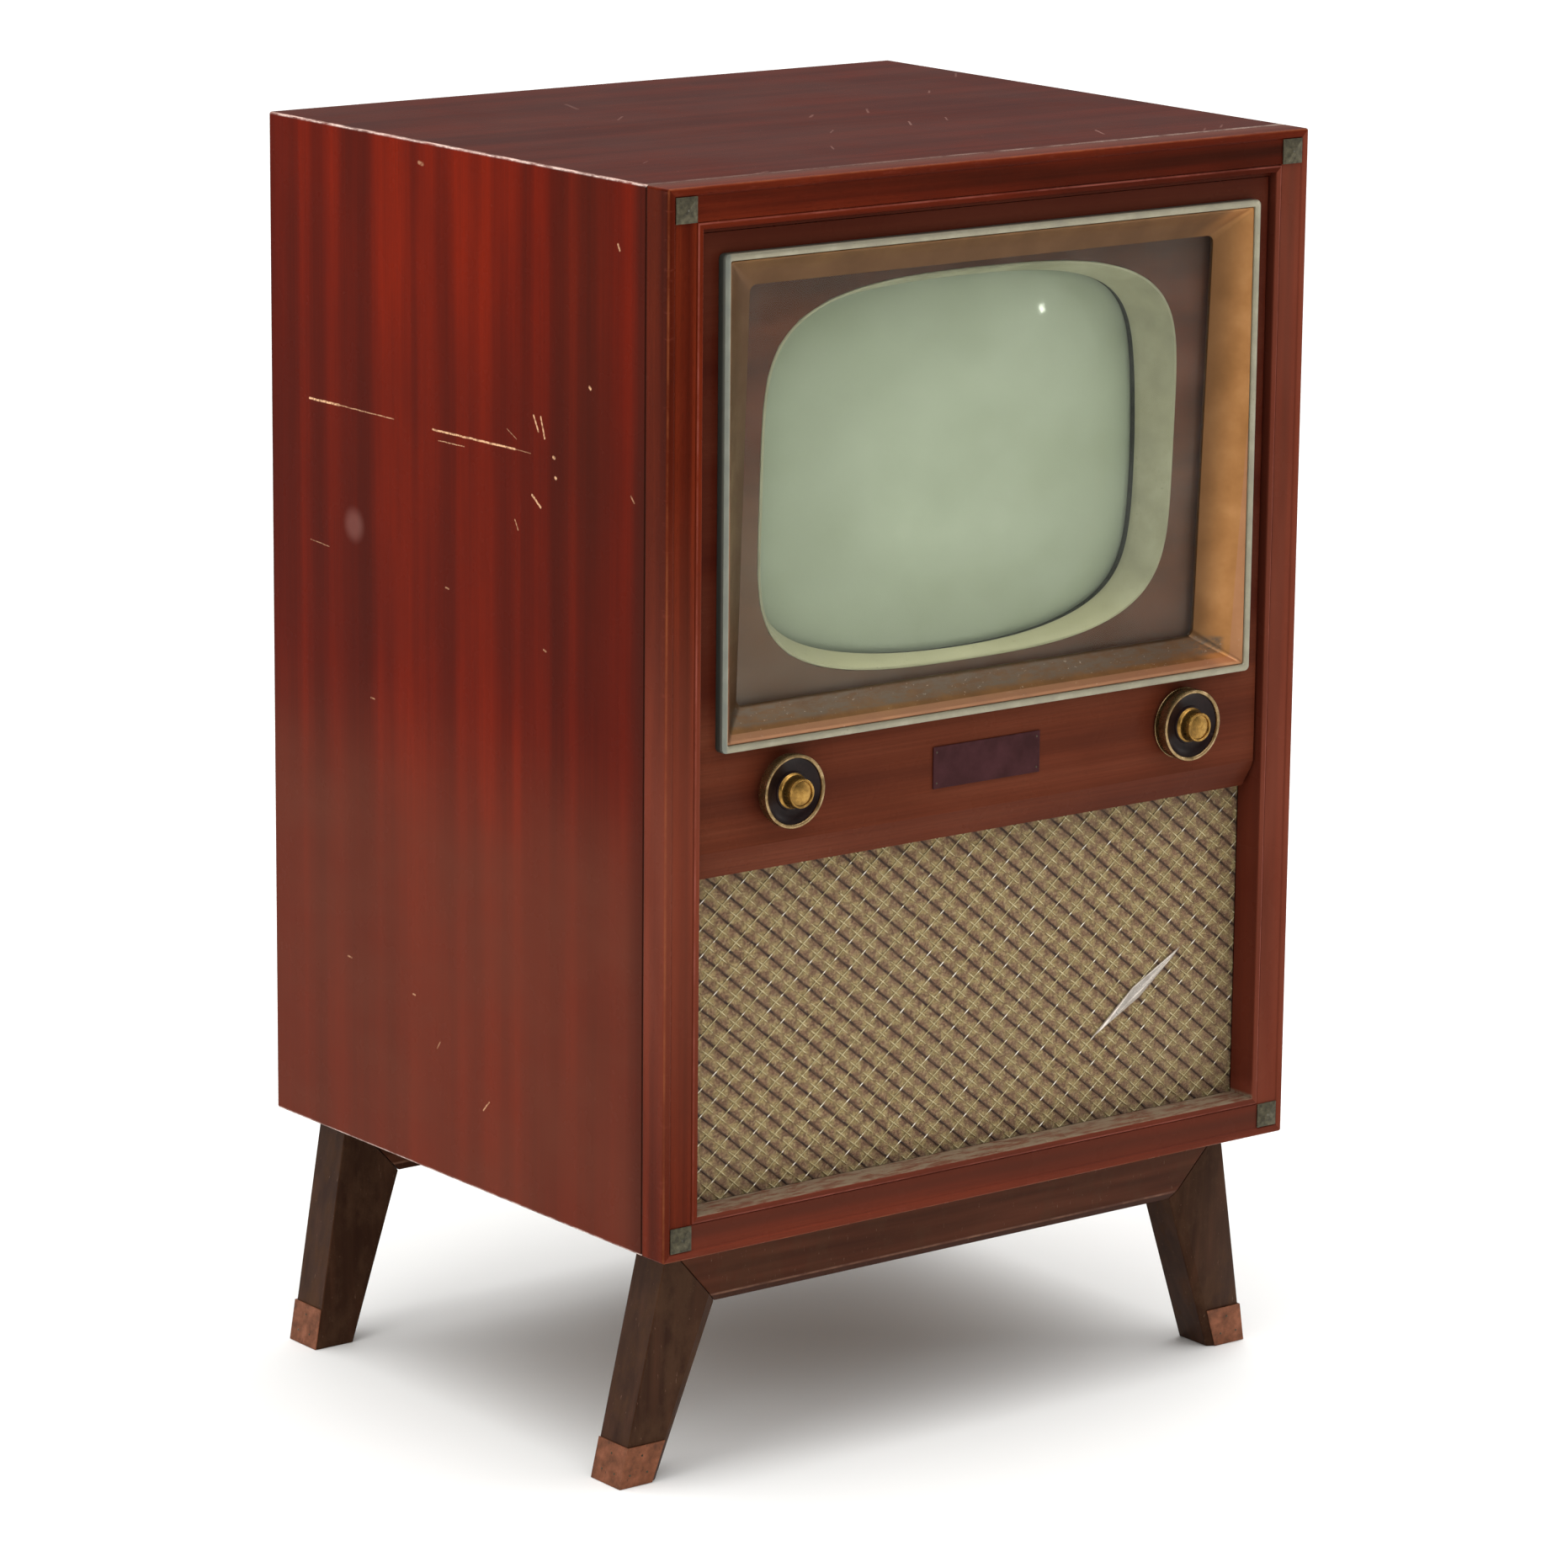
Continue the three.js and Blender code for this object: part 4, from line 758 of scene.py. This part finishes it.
FRAME_PROFILE = (
    (0.5, 27), (0.1, 26.5), (0, 26.2), (0, 1.9), (0.25, 1), (0.8, 0.35), (1.6, 0), (5.2, 0),
    (6, 0.25), (6.6, 0.85), (6.8, 1), (25.9, 1), (26.1, 1.5), (26.5, 1.5), (26.7, 0.6),
    (27.1, 0.15), (27.8, 0), (30.6, 0), (31.4, 0.25), (31.85, 0.8), (32, 1.6), (32, 27),
)
BOARD_PROFILE = (
    (0, 28.1), (0.15, 27.7), (0.5, 27.3), (18, 27.3), (18, DEPTH), (0.9, DEPTH), (0.25, DEPTH - 0.3),
    (0, DEPTH - 1),
)
BOARDS = (
    ("bottom", wood_under, "raw_wood"),
    ("right_side", wood_right, "side_mahogany"),
    ("top", wood_top, "top_mahogany"),
    ("left_side", wood_left, "side_mahogany"),
)
for which, (spot, wood, slot) in enumerate(BOARDS):
    member(f"{spot}_board", which, BOARD_PROFILE, wood, f"{spot}_panel", slot)

for which, spot in enumerate(("bottom_rail", "right_stile", "top_rail", "left_stile")):
    wood = wood_rail if spot.endswith("rail") else wood_stile
    member(f"{spot}_moulding", which, FRAME_PROFILE, wood, f"front_{spot}", "frame_mahogany")


# ------------ the front knobs

DISC = (
    (11.6, -4.6), (11.8, -6), (12.1, -6.4), (14.1, -6.4), (14.5, -6.2), (15, -5.2), (18, -5.35),
    (21, -5.95), (23.2, -6.8), (24.6, -7.5), (24.9, -8.3), (25.15, -9), (25.5, -9.35), (26, -9.5),
    (27.2, -9.5), (27.7, -9.25), (28, -8.7), (28, -2), (27.8, -1.2), (27.4, -0.6),
)
PLAIN_BACK = ((27, 0), (4, 0), (4, -4.6), (11.6, -4.6))
FLANGED_BACK = (
    (27, -1), (24.8, -0.4), (24.5, 0.4), (24.5, 2.4), (25, 2.6), (27.6, 2.6), (28, 2.9),
    (28, 3.7), (27.6, 4), (4, 4), (4, -4.6), (11.6, -4.6),
)
BUTTON = (
    (0, -18), (2, -17.97), (4, -17.8), (6, -17.52), (8, -17.12), (9.2, -16.85), (9.4, -17.6),
    (9.8, -17.95), (10.5, -18), (11, -17.8), (11.3, -17.3), (11.3, -10.5), (11.45, -9.3),
    (11.9, -8.2), (12.7, -7.3), (13.5, -6.9), (13.6, -6.75), (13.3, -6.6), (4, -6.6), (0, -6.6),
)
KNURL_RADIUS = 27.95
KNURL_COUNT = 90
KNURL_DEPTH = 0.22
DISH_RADIUS = 24.8
DISH_BACK = -4


def turned(name, profile, cx, cz, segments, body, node, *materials):
    """A piece turned about the y axis at (cx, cz), knurled where it is widest.

    The profile is (radius, y). A second material goes to the front inside the rim."""
    rings = []
    for radius, y in profile:
        ring = []
        for i in range(segments):
            angle = tau * i / segments
            r = radius
            if radius >= KNURL_RADIUS:
                r -= KNURL_DEPTH * (0.5 + 0.5 * cos(KNURL_COUNT * angle))
            ring.append((cx + r * cos(angle), y, cz + r * sin(angle)))
        rings.append(ring)
    points, faces = loft(rings, caps=False)
    made = piece(name, points, faces, *materials, body=body, stands_for=node, slot="polished_brass",
                 smooth=32)
    if len(materials) > 1:
        paint_faces(made, lambda x, y, z: int(hypot(x - cx, z - cz) < DISH_RADIUS and y < DISH_BACK))


KNOBS = (
    ("contrast", -KNOB_X, PLAIN_BACK, "volume"),
    ("channel", KNOB_X, FLANGED_BACK, "fine_tuning"),
)
for outer, x, back, inner in KNOBS:
    brass = bright_brass(f"{outer}_brass", (x, KNOB_Z), "685539 8c7450 a58c68")
    turned(f"{outer}_disc", DISC + back, x, KNOB_Z, 360, outer, f"{outer}_knob", brass, knob_dish)
    golden = bright_brass(f"{inner}_brass", (x, KNOB_Z), "70542a 947038 ad8748")
    turned(f"{inner}_button", BUTTON, x, KNOB_Z, 96, inner, f"{inner}_knob", golden)


# ------------ the screen

CORNER_STEPS = 6
SIDE_STEPS = 10


def rounded(half_width, half_height, radius):
    """A rounded rectangle about the screen's centre, as (x, z) in cabinet millimetres."""
    arcs = []
    for side, level, start in ((1, 1, 0), (-1, 1, 90), (-1, -1, 180), (1, -1, 270)):
        cx = side * (half_width - radius)
        cz = SCREEN_Z + level * (half_height - radius)
        angles = [radians(start + 90 * i / CORNER_STEPS) for i in range(CORNER_STEPS + 1)]
        arcs.append([(cx + radius * cos(angle), cz + radius * sin(angle)) for angle in angles])
    path = []
    for arc, (ahead, *_) in zip(arcs, arcs[1:] + arcs[:1]):
        path += arc
        x, z = arc[-1]
        for k in range(1, SIDE_STEPS):
            path.append((x + (ahead[0] - x) * k / SIDE_STEPS, z + (ahead[1] - z) * k / SIDE_STEPS))
    return path


def screen_ring(name, sections, material, node, slot, smooth=32):
    """A closed ring; each section is (half width, half height, corner radius, depth, share of LEAN)."""
    rings = []
    for half_width, half_height, radius, depth, lean in sections:
        path = rounded(half_width, half_height, radius)
        rings.append([(x, depth - (z - SCREEN_Z) * LEAN * lean, z) for x, z in path])
    points, faces = loft(rings, closed_loft=True)
    piece(name, points, faces, material, stands_for=node, slot=slot, smooth=smooth)


TRIM_WIDTH = 256
TRIM_HEIGHT = 184
TRIM_SECTION = (
    (0, 5.7), (0, -1.7), (0.25, -2.3), (0.8, -2.6), (4.5, -2.6), (5, -2.4), (5.3, -1.9),
    (5.5, -1.1), (5.5, 5.7),
)
trim = [(TRIM_WIDTH - u, TRIM_HEIGHT - u, max(4.2 - u * 0.5, 1.5), y, 0) for u, y in TRIM_SECTION]
cream = finish("cream_trim", (25, 4, 0.6), "868070 928c77 a09a86", (0.42, 0.28), trim_shade_and_specks,
               at=(0.3, 0.52, 0.72), texture=(1.2, 3), relief=(0.04, 0.4), metallic=0.55)
screen_ring("screen_trim", trim, cream, "bezel_trim", "trim_metal")

LINER_STEPS = 12
liner = [(250.4, 178.4, 1.5, 5.4, 0), (250.4, 178.4, 1.5, -0.7, 0), (249.9, 177.9, 1.8, -1.1, 0)]
for i in range(LINER_STEPS + 1):
    s = i / LINER_STEPS
    cove = 1.1 * sin(pi * s)
    liner.append((249.3 - 27.3 * s, 177.4 - 20.1 * s, 2.2 + 3.6 * s, -0.9 + 20.5 * s + cove, s))
liner += [(222, 157.3, 5.8, 22.6, 1), (223.6, 158.9, 5.8, 22.6, 1), (223.9, 159, 5.8, 21.5, 1)]
screen_ring("screen_recess", liner, gold_paint("gold_recess"), "bezel_liner", "gold_paint", smooth=50)

OVAL_POINTS = 192
HALO_OVAL = (197.6, 148.6, 3, 5)
FACE_OVAL = (181, 142, 2.3, 6.4)
BULB_OVAL = (199, 157, 3.2, 5)
BULB_SPHERE = 686.0
FACE_FRONT = 35


def oval(shape, grow=0, share=1):
    """Points on a squarish oval (a, b, p, q), |x/a|^p + |z/b|^q = 1, grown by grow mm."""
    a, b, p, q = shape
    spots = []
    for i in range(OVAL_POINTS):
        angle = tau * i / OVAL_POINTS
        dx = a * cos(angle)
        dz = b * sin(angle)
        low, high = 0.1, 2.0
        for _ in range(40):
            k = (low + high) / 2
            if abs(k * dx / a) ** p + abs(k * dz / b) ** q > 1:
                high = k
            else:
                low = k
        length = hypot(dx, dz)
        spots.append(((dx * low + grow * dx / length) * share, (dz * low + grow * dz / length) * share))
    return spots


def face_depth(x, z):
    """Depth of the picture tube's face at (x, z) from the screen's centre."""
    return FACE_FRONT + BULB_SPHERE - sqrt(BULB_SPHERE ** 2 - x * x - z * z)


def on_face(shape, grow, behind, share=1):
    """An oval ring that lies behind mm behind the tube's face."""
    return [(x, face_depth(x, z) + behind, SCREEN_Z + z) for x, z in oval(shape, grow, share)]


HALO_STEPS = 8
HALO_LIP = 28.4
HALO_FRONT = ((2.2, 33), (2.2, 28.7), (1.6, 28.3), (0, HALO_LIP))
rings = []
for grow, depth in HALO_FRONT:
    rings.append([(x, depth - z * LEAN, SCREEN_Z + z) for x, z in oval(HALO_OVAL, grow)])
for i in range(1, HALO_STEPS + 1):
    s = i / HALO_STEPS
    row = []
    for (x0, z0), (x1, z1) in zip(oval(HALO_OVAL), oval(FACE_OVAL)):
        front = HALO_LIP - z0 * LEAN
        back = face_depth(x1, z1) - 8
        bulge = 0.9 * sin(pi * s)
        row.append((x0 + (x1 - x0) * s, front + (back - front) * s - bulge, SCREEN_Z + z0 + (z1 - z0) * s))
    rings.append(row)
rings += [on_face(FACE_OVAL, 0, -6.6), on_face(FACE_OVAL, 1.2, -6)]
green = finish("green_halo", (45, 4, 0.6), "908c78 a09b85 ada893", 0.42, halo_specks_and_painted_light,
               texture=(1.8, 2), relief=(0.04, 0.4), level=0.4)
piece("screen_halo", *loft(rings, closed_loft=True), green, stands_for="halo_ring", slot="halo_green",
      smooth=40)

SEAL = ((0.8, -0.7), (0.5, -2), (1, -7.2), (2, -7.6), (8.5, -7.6), (9, -0.7))
rings = [on_face(FACE_OVAL, grow, behind) for grow, behind in SEAL]
rubber = mottled("dark_rubber", "121210 24241e", size=8, roughness=0.7)
piece("tube_seal", *loft(rings, closed_loft=True), rubber, stands_for="tube_gasket", slot="rubber",
      smooth=40)

FACE_SHARES = (0.04, 0.12, 0.22, 0.32, 0.42, 0.52, 0.62, 0.72, 0.82, 0.91, 0.97)
FACE_EDGE = -6
SKIRT = 34.0
PHOSPHOR_DEPTH = 4
SHOULDER = ((FACE_EDGE, 0.2), (-3.5, 0.8), (-1.6, 2.4), (-0.5, 5), (0, 9), (0, SKIRT))
FUNNEL_STEPS = 12
FUNNEL_CURVE = 1.25
NECK_RADIUS = 18.2
NECK_START = 282.0
NECK_END = 430.0
rings = [on_face(BULB_OVAL, FACE_EDGE, 0, share) for share in FACE_SHARES]
rings += [on_face(BULB_OVAL, grow, behind) for grow, behind in SHOULDER]
for i in range(1, FUNNEL_STEPS + 1):
    s = i / FUNNEL_STEPS
    row = []
    for x, z in oval(BULB_OVAL):
        angle = atan2(z, x)
        start = face_depth(x, z) + SKIRT
        rx = x + (NECK_RADIUS * cos(angle) - x) * s
        rz = z + (NECK_RADIUS * sin(angle) - z) * s
        row.append((rx, start + (NECK_START - start) * s ** FUNNEL_CURVE, SCREEN_Z + rz))
    rings.append(row)
rings.append([(x, NECK_END, z) for x, _, z in rings[-1]])
phosphor = finish("phosphor_face", ((130, 130, 90), 3), "abb1a0 b4baab bdc3b4", (0.2, 0.28),
                  face_shade, level=0.12, Coat_Weight=0.16, Coat_Roughness=0.05)
graphite = finish("graphite_bulb", (30, 4), "17181a 2a2b2c", 0.5, relief=(0.2, 0.3))
tube = piece("tube_bulb", *loft(rings), phosphor, graphite, stands_for="picture_tube",
             slot="tube_glass", smooth=60)
paint_faces(tube, lambda x, y, z: int(y >= face_depth(x, z - SCREEN_Z) + PHOSPHOR_DEPTH))


# ------------ the grille

CLOTH_X = 286.2
CLOTH_LOW = 19.4
CLOTH_HIGH = 301.6
CLOTH_FRONT = 28.25
CLOTH_THICK = 0.9
COLUMNS = 143
ROWS = 71
LINES = 40
LINE_REACH = 45


def strand(points, half_width, half_height, sides):
    """The rings of a thread with tapered ends along points (x, y, z) on the cloth."""
    rings = []
    for i, (x, y, z) in enumerate(points):
        x0, _, z0 = points[max(i - 1, 0)]
        x1, _, z1 = points[min(i + 1, len(points) - 1)]
        length = hypot(x1 - x0, z1 - z0) or 1.0
        nx, nz = -(z1 - z0) / length, (x1 - x0) / length
        ends = min(1, (i + 1) / 3, (len(points) - i) / 3)
        swell = ends * (0.9 + 0.2 * sin(i * 2.1 + x * 0.7))
        ring = []
        for k in range(sides):
            angle = tau * k / sides
            out = half_width * swell * cos(angle)
            ring.append((x + nx * out, y - half_height * sin(angle), z + nz * out))
        rings.append(ring)
    return rings


def diagonals(family, offset, height, step=0.1, shown=None):
    """Threads along one family of diagonals, "s" or "t", held at whole numbers + offset.

    height(moving) is how far the thread stands in front of the cloth; shown(moving) breaks it."""
    paths = []
    for n in range(-LINES, LINES + 1):
        held = n + offset
        path = []
        for i in range(int(2 * LINE_REACH / step)):
            moving = -LINE_REACH + i * step
            x = CROSS_X + PITCH_X * (held + moving) / 2
            rise = held - moving if family == "s" else moving - held
            z = CROSS_Z + PITCH_Z * rise / 2
            inside = abs(x) < CLOTH_X - 1 and CLOTH_LOW + 1 < z < CLOTH_HIGH - 1
            if inside and (shown is None or shown(moving)):
                wander = 0.22 * sin(held * 5.3 + moving * 1.9)
                path.append((x + wander, CLOTH_FRONT - height(moving), z + wander * 0.6))
            else:
                paths.append(path)
                path = []
        paths.append(path)
    return [path for path in paths if len(path) > 2]


def threads(name, material, paths, half_width, half_height, sides=6):
    """One piece made of many threads."""
    lofts = [loft(strand(path, half_width, half_height, sides)) for path in paths]
    return piece(name, *merged(lofts), material, slot="grille_cloth", smooth=180, clean=False)


points = []
for j in range(ROWS):
    z = CLOTH_LOW + (CLOTH_HIGH - CLOTH_LOW) * j / (ROWS - 1)
    for i in range(COLUMNS):
        x = -CLOTH_X + 2 * CLOTH_X * i / (COLUMNS - 1)
        u = (x - CROSS_X) / PITCH_X
        v = (z - CROSS_Z) / PITCH_Z
        ripple = 0.10 * cos(tau * (u + v)) + 0.06 * cos(tau * (u - v))
        points.append((x, CLOTH_FRONT + ripple, z))
faces = []
for j in range(ROWS - 1):
    for i in range(COLUMNS - 1):
        a = j * COLUMNS + i
        faces.append((a, a + 1, a + COLUMNS + 1, a + COLUMNS))
cloth = piece("grille_sheet", points, faces, ground_cloth("grille_ground"), stands_for="grille_cloth",
              slot="grille_cloth", smooth=60)
if cloth.data.polygons[0].normal.y > 0:
    cloth.data.flip_normals()
thick = cloth.modifiers.new("thick", "SOLIDIFY")
thick.thickness = CLOTH_THICK * MM
thick.offset = -1.0

metal_yarn = yarn("metal_yarn", "8f8058 baaa7e ddd0a8", metallic=0.2, roughness=0.4, painted_glints=1)
gold_yarn = yarn("gold_yarn", "988858 c0b082 dfd2aa", roughness=0.6)
brown_yarn = yarn("brown_yarn", "281912 3c281b 563e2b", roughness=0.85, twist=7)
under = diagonals("t", 0, lambda m: 0.30 + 0.32 * (0.5 - 0.5 * cos(tau * m)))
over = diagonals("s", 0, lambda m: 0.32 + 0.36 * (0.5 + 0.5 * cos(tau * m)),
                 shown=lambda m: abs(m - 0.02 - round(m - 0.02)) < 0.46)
bands = diagonals("s", 0.5, lambda m: 0.06 + 0.06 * cos(tau * m), step=0.14)
bright = threads("grille_bright_threads", metal_yarn, under, 0.52, 0.34)
yellow = threads("grille_gold_threads", gold_yarn, over, 0.54, 0.34)
brown = threads("grille_brown_threads", brown_yarn, bands, 0.95, 0.3, sides=5)


# ------------ small fixings

PANEL_EDGE = 270.5
PANEL_TOP = 765.0
OPENING = 279.2
STOP_LOW = 306.0
STOP_FRONT = 19.0
STOP_BACK = 23.8
PANEL_STOPS = (
    ("panel_stop_top", (-OPENING, 6.3, PANEL_TOP), (OPENING, STOP_BACK, 767.9)),
    ("panel_stop_left", (-OPENING, STOP_FRONT, STOP_LOW), (-PANEL_EDGE, STOP_BACK, PANEL_TOP - 0.1)),
    ("panel_stop_right", (PANEL_EDGE, STOP_FRONT, STOP_LOW), (OPENING, STOP_BACK, PANEL_TOP - 0.1)),
)
for name, (x0, y0, z0), (x1, y1, z1) in PANEL_STOPS:
    rings = [[(x0, y, z0), (x1, y, z0), (x1, y, z1), (x0, y, z1)] for y in (y0, y1)]
    stop = piece(name, *loft(rings), wood_panel, slot="panel_mahogany")
    rounding = stop.modifiers.new("edge", "BEVEL")
    rounding.width = 0.4 * MM
    rounding.segments = 2

HEAD_SEGMENTS = 20
HEAD_RIM = 0.25
HEAD_DOME = 0.45
HEAD_PROFILE = ((1, None), (1, 0), (0.86, 0.45), (0.55, 0.8), (0.15, 1))
SLOT_HALF = 0.16
SLOT_DEPTH = 0.22


def head(x, y, z, radius, out, slot_turn=0):
    """A domed slotted head whose face looks along out ("-y", "+y", "-x" or "+x").

    HEAD_PROFILE gives each ring's share of the radius and of the dome; None is the foot of the rim."""
    sign = -1 if out[0] == "-" else 1
    rings = []
    for share, rise in HEAD_PROFILE:
        r = radius * share
        lift = 0.0 if rise is None else HEAD_RIM * radius + HEAD_DOME * radius * rise
        ring = []
        for i in range(HEAD_SEGMENTS):
            angle = tau * i / HEAD_SEGMENTS
            u, v = r * cos(angle), r * sin(angle)
            turned_v = -u * sin(slot_turn) + v * cos(slot_turn)
            in_slot = abs(turned_v) < radius * SLOT_HALF and lift > 0.3 * radius
            h = sign * (lift - (SLOT_DEPTH * radius if in_slot else 0))
            ring.append((x + u, y + h, z + v) if out[1] == "y" else (x + h, y + u, z + v))
        rings.append(ring)
    return loft(rings)


def fixings(name, heads, material, slot):
    """One piece that holds several heads."""
    piece(name, *merged(heads), material, slot=slot, smooth=40)


PIN_RADIUS = 0.9
STUD_IN = 16.5
spots = [(side * (HALF_WIDTH - STUD_IN), z) for side in (-1, 1) for z in (STUD_IN, HEIGHT - STUD_IN)]
fixings("stud_pins", [head(x, -1.5, z, PIN_RADIUS, "-y") for x, z in spots], steel, "antique_brass")

random.seed(4)
BACK_Y = 515.2
SCREW_RADIUS = 4.2
spots = [(x, z) for x in (-272, -136, 0, 136, 272) for z in (32, HEIGHT - 32)]
spots += [(x, z) for z in (210, 400, 590) for x in (-276, 276)]
screws = [head(x, BACK_Y, z, SCREW_RADIUS, "+y", random.uniform(0, 3)) for x, z in spots]
fixings("back_cover_screws", screws, steel, "steel")

PLATE_FRONT = 4.8
spots = [(side * 48.6, z) for side in (-1, 1) for z in (330.5, 354.4)]
fixings("nameplate_pins", [head(x, PLATE_FRONT, z, 0.8, "-y") for x, z in spots], brass_stud, "antique_brass")

FOOT_OUTER = 310.1
LEG_TOP_OUTER = 273.0
FOOT_Y = 46.3
LEG_TOP_Y = 37.0
TRESTLE_MIDDLE = 270.5
SABOT_OUT = 1.1
NAILS = ((10, 6), (10, 22), (24, 14))
nails = []
for up, across in NAILS:
    rise = up / BASE_HEIGHT
    outer = FOOT_OUTER + (LEG_TOP_OUTER - FOOT_OUTER) * rise
    front = FOOT_Y + (LEG_TOP_Y - FOOT_Y) * rise - SABOT_OUT
    rear = 2 * TRESTLE_MIDDLE - front
    z = up - BASE_HEIGHT
    for side, out in ((-1, "-x"), (1, "+x")):
        nails.append(head(side * (outer - across), front, z, PIN_RADIUS, "-y"))
        nails.append(head(side * (outer - across), rear, z, PIN_RADIUS, "+y"))
        for y in (front + across + 4, rear - across - 4):
            nails.append(head(side * (outer + SABOT_OUT), y, z, PIN_RADIUS, out))
fixings("sabot_nails", nails, brass_stud, "copper")

TERMINAL_Y = 518.0
TERMINAL_Z = 432.0
TERMINAL_RADIUS = 2.8
screws = []
for x in (168, 186, 204):
    screws.append(head(x, TERMINAL_Y, TERMINAL_Z, TERMINAL_RADIUS, "+y", random.uniform(0, 3)))
fixings("antenna_terminal_screws", screws, steel, "steel")


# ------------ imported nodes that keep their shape

silver_gilt = mottled("silver_gilt", "b4aaa0 dcd3c8", size=9, roughness=0.3, metallic=0.6, relief=0.02)
cone_paper = mottled("cone_paper", "1b1917 2f2b26", size=9, roughness=0.85, relief=0.2)
brown_mask = finish("brown_mask", ((70, 70, 24), 4, 0.6), "4c241a 5c2f22 6a3a2b", 0.62,
                    mask_dots_shadow_and_reflection, at=(0.3, 0.5, 0.72), relief=(0.03, 0.2), level=0.2)
back_board = finish("back_board", ((1.4, 1.4, 5), 5, 0.75, 1.5), "3d2819 5a3d28 74543a", 0.78,
                    board_stains, at=(0.32, 0.5, 0.7), relief=(0.15, 0.6), level=0.2)
smoked_bulb = mottled("smoked_bulb", "4a4c48 6c6e68", size=14, roughness=0.12)
PACKED = (
    (wood_panel, "panel_mahogany", {"front_panel": 0.5}),
    (plum_plate, "plate_plum", {"nameplate": 0.35}),
    (pane("safety_pane"), "clear_glass", {"safety_glass": 0}),
    (brown_mask, "mask_brown", {"screen_mask": 0.3}),
    (copper_cap, "copper", {"deflection_yoke": 0}),
    (wood_under, "raw_wood", {"speaker_board": 0, "chassis_shelf": 0.5}),
    (black_paint, "black_paint", {"speaker_frame": 0.4, "power_transformer": 1.0}),
    (cone_paper, "paper", {"speaker_cone": 0}),
    (steel, "steel", {"speaker_magnet": 0.6, "contrast_shaft": 0, "volume_shaft": 0, "channel_shaft": 0,
                      "fine_tuning_shaft": 0}),
    (tin, "tin_plate", {"dual_control": 0.4, "tuner": 0.6, "chassis": 0.6, "high_voltage_cage": 0.6}),
    (smoked_bulb, "tube_glass", {"vacuum_tube": 0}),
    (back_board, "hardboard", {"back_cover": 0}),
    (bakelite, "bakelite", {"horizontal_hold_knob": 0.4, "vertical_hold_knob": 0.4, "brightness_knob": 0.4,
                            "antenna_terminal_board": 0.4, "tube_socket": 0.4, "interlock_inlet": 0.5}),
    (rail_stain, "base_wood", {"front_base_rail": 0.9, "rear_base_rail": 0.9}),
)
for material, slot, widths in PACKED:
    for name, width in widths.items():
        dress(name, material, width)
for corner in ("top_left", "top_right", "bottom_left", "bottom_right"):
    dress(f"{corner}_stud", brass_stud, 0.25, angle=8)
dress("grille_ornament", silver_gilt, 0.5, angle=12)
for corner in ("front_left", "front_right", "rear_left", "rear_right"):
    dress(f"{corner}_leg", base_stain, 0.9)
    dress(f"{corner}_sabot", copper_cap, 0.25)


# ------------ floor, light, camera

REACH = 40.0
corners = [(x * REACH, y * REACH, 0) for x, y in ((-1, -1), (1, -1), (1, 1), (-1, 1))]
mesh = bpy.data.meshes.new("floor")
mesh.from_pydata(corners, [], [(0, 1, 2, 3)])
mesh.materials.append(finish("pale_floor", (900, 2), "f0f0ee f6f6f4", 0.7, level=0.2))
stand("floor", mesh)


def softbox(name, location, size, power):
    """A white rectangular lamp aimed at the middle of the cabinet; size in metres, power in watts."""
    data = bpy.data.lights.new(name, "AREA")
    data.shape = "RECTANGLE"
    data.size, data.size_y = size
    data.energy = power
    lamp = stand(name, data)
    lamp.location = location
    lamp.rotation_euler = (MIDDLE - Vector(location)).to_track_quat("-Z", "Y").to_euler()


MIDDLE = Vector((0, 0, 0.55))
KEY = (3.36, -2.65, 1.12)
softbox("key_front_right", KEY, (1.6, 1), 9)
softbox("small_lamp", KEY, (0.06, 0.06), 2.6)
softbox("fill_left", (-3.4, -0.6, 1.9), (1.8, 1.8), 26)
softbox("overhead", (0.2, -0.2, 3.4), (3, 3), 30)

HORIZON = 0.07
ZENITH = 2.65
sky = Shade("studio", bpy.data.worlds)
generated = sky.add("TexCoord").outputs["Generated"]
up = sky.add("SeparateXYZ", generated).outputs[2]
curve = sky.math("POWER", sky.math("MAXIMUM", up, 0), 2)
strength = sky.math("MULTIPLY_ADD", curve, ZENITH, HORIZON)
background = sky.add("Background", (1, 1, 1, 1), strength)
sky.add("OutputWorld", background.outputs[0])
scene.world = sky.material

optics = bpy.data.cameras.new("camera")
optics.lens = 148.68
optics.sensor_width = 36.0
optics.clip_start = 0.1
optics.clip_end = 100.0
camera = stand("camera", optics)
camera.location = (-3.0288, -3.9331, 1.6265)
camera.rotation_euler = tuple(radians(a) for a in (76.816, -0.538, -37.439))
scene.camera = camera
scene.view_settings.view_transform = "Standard"
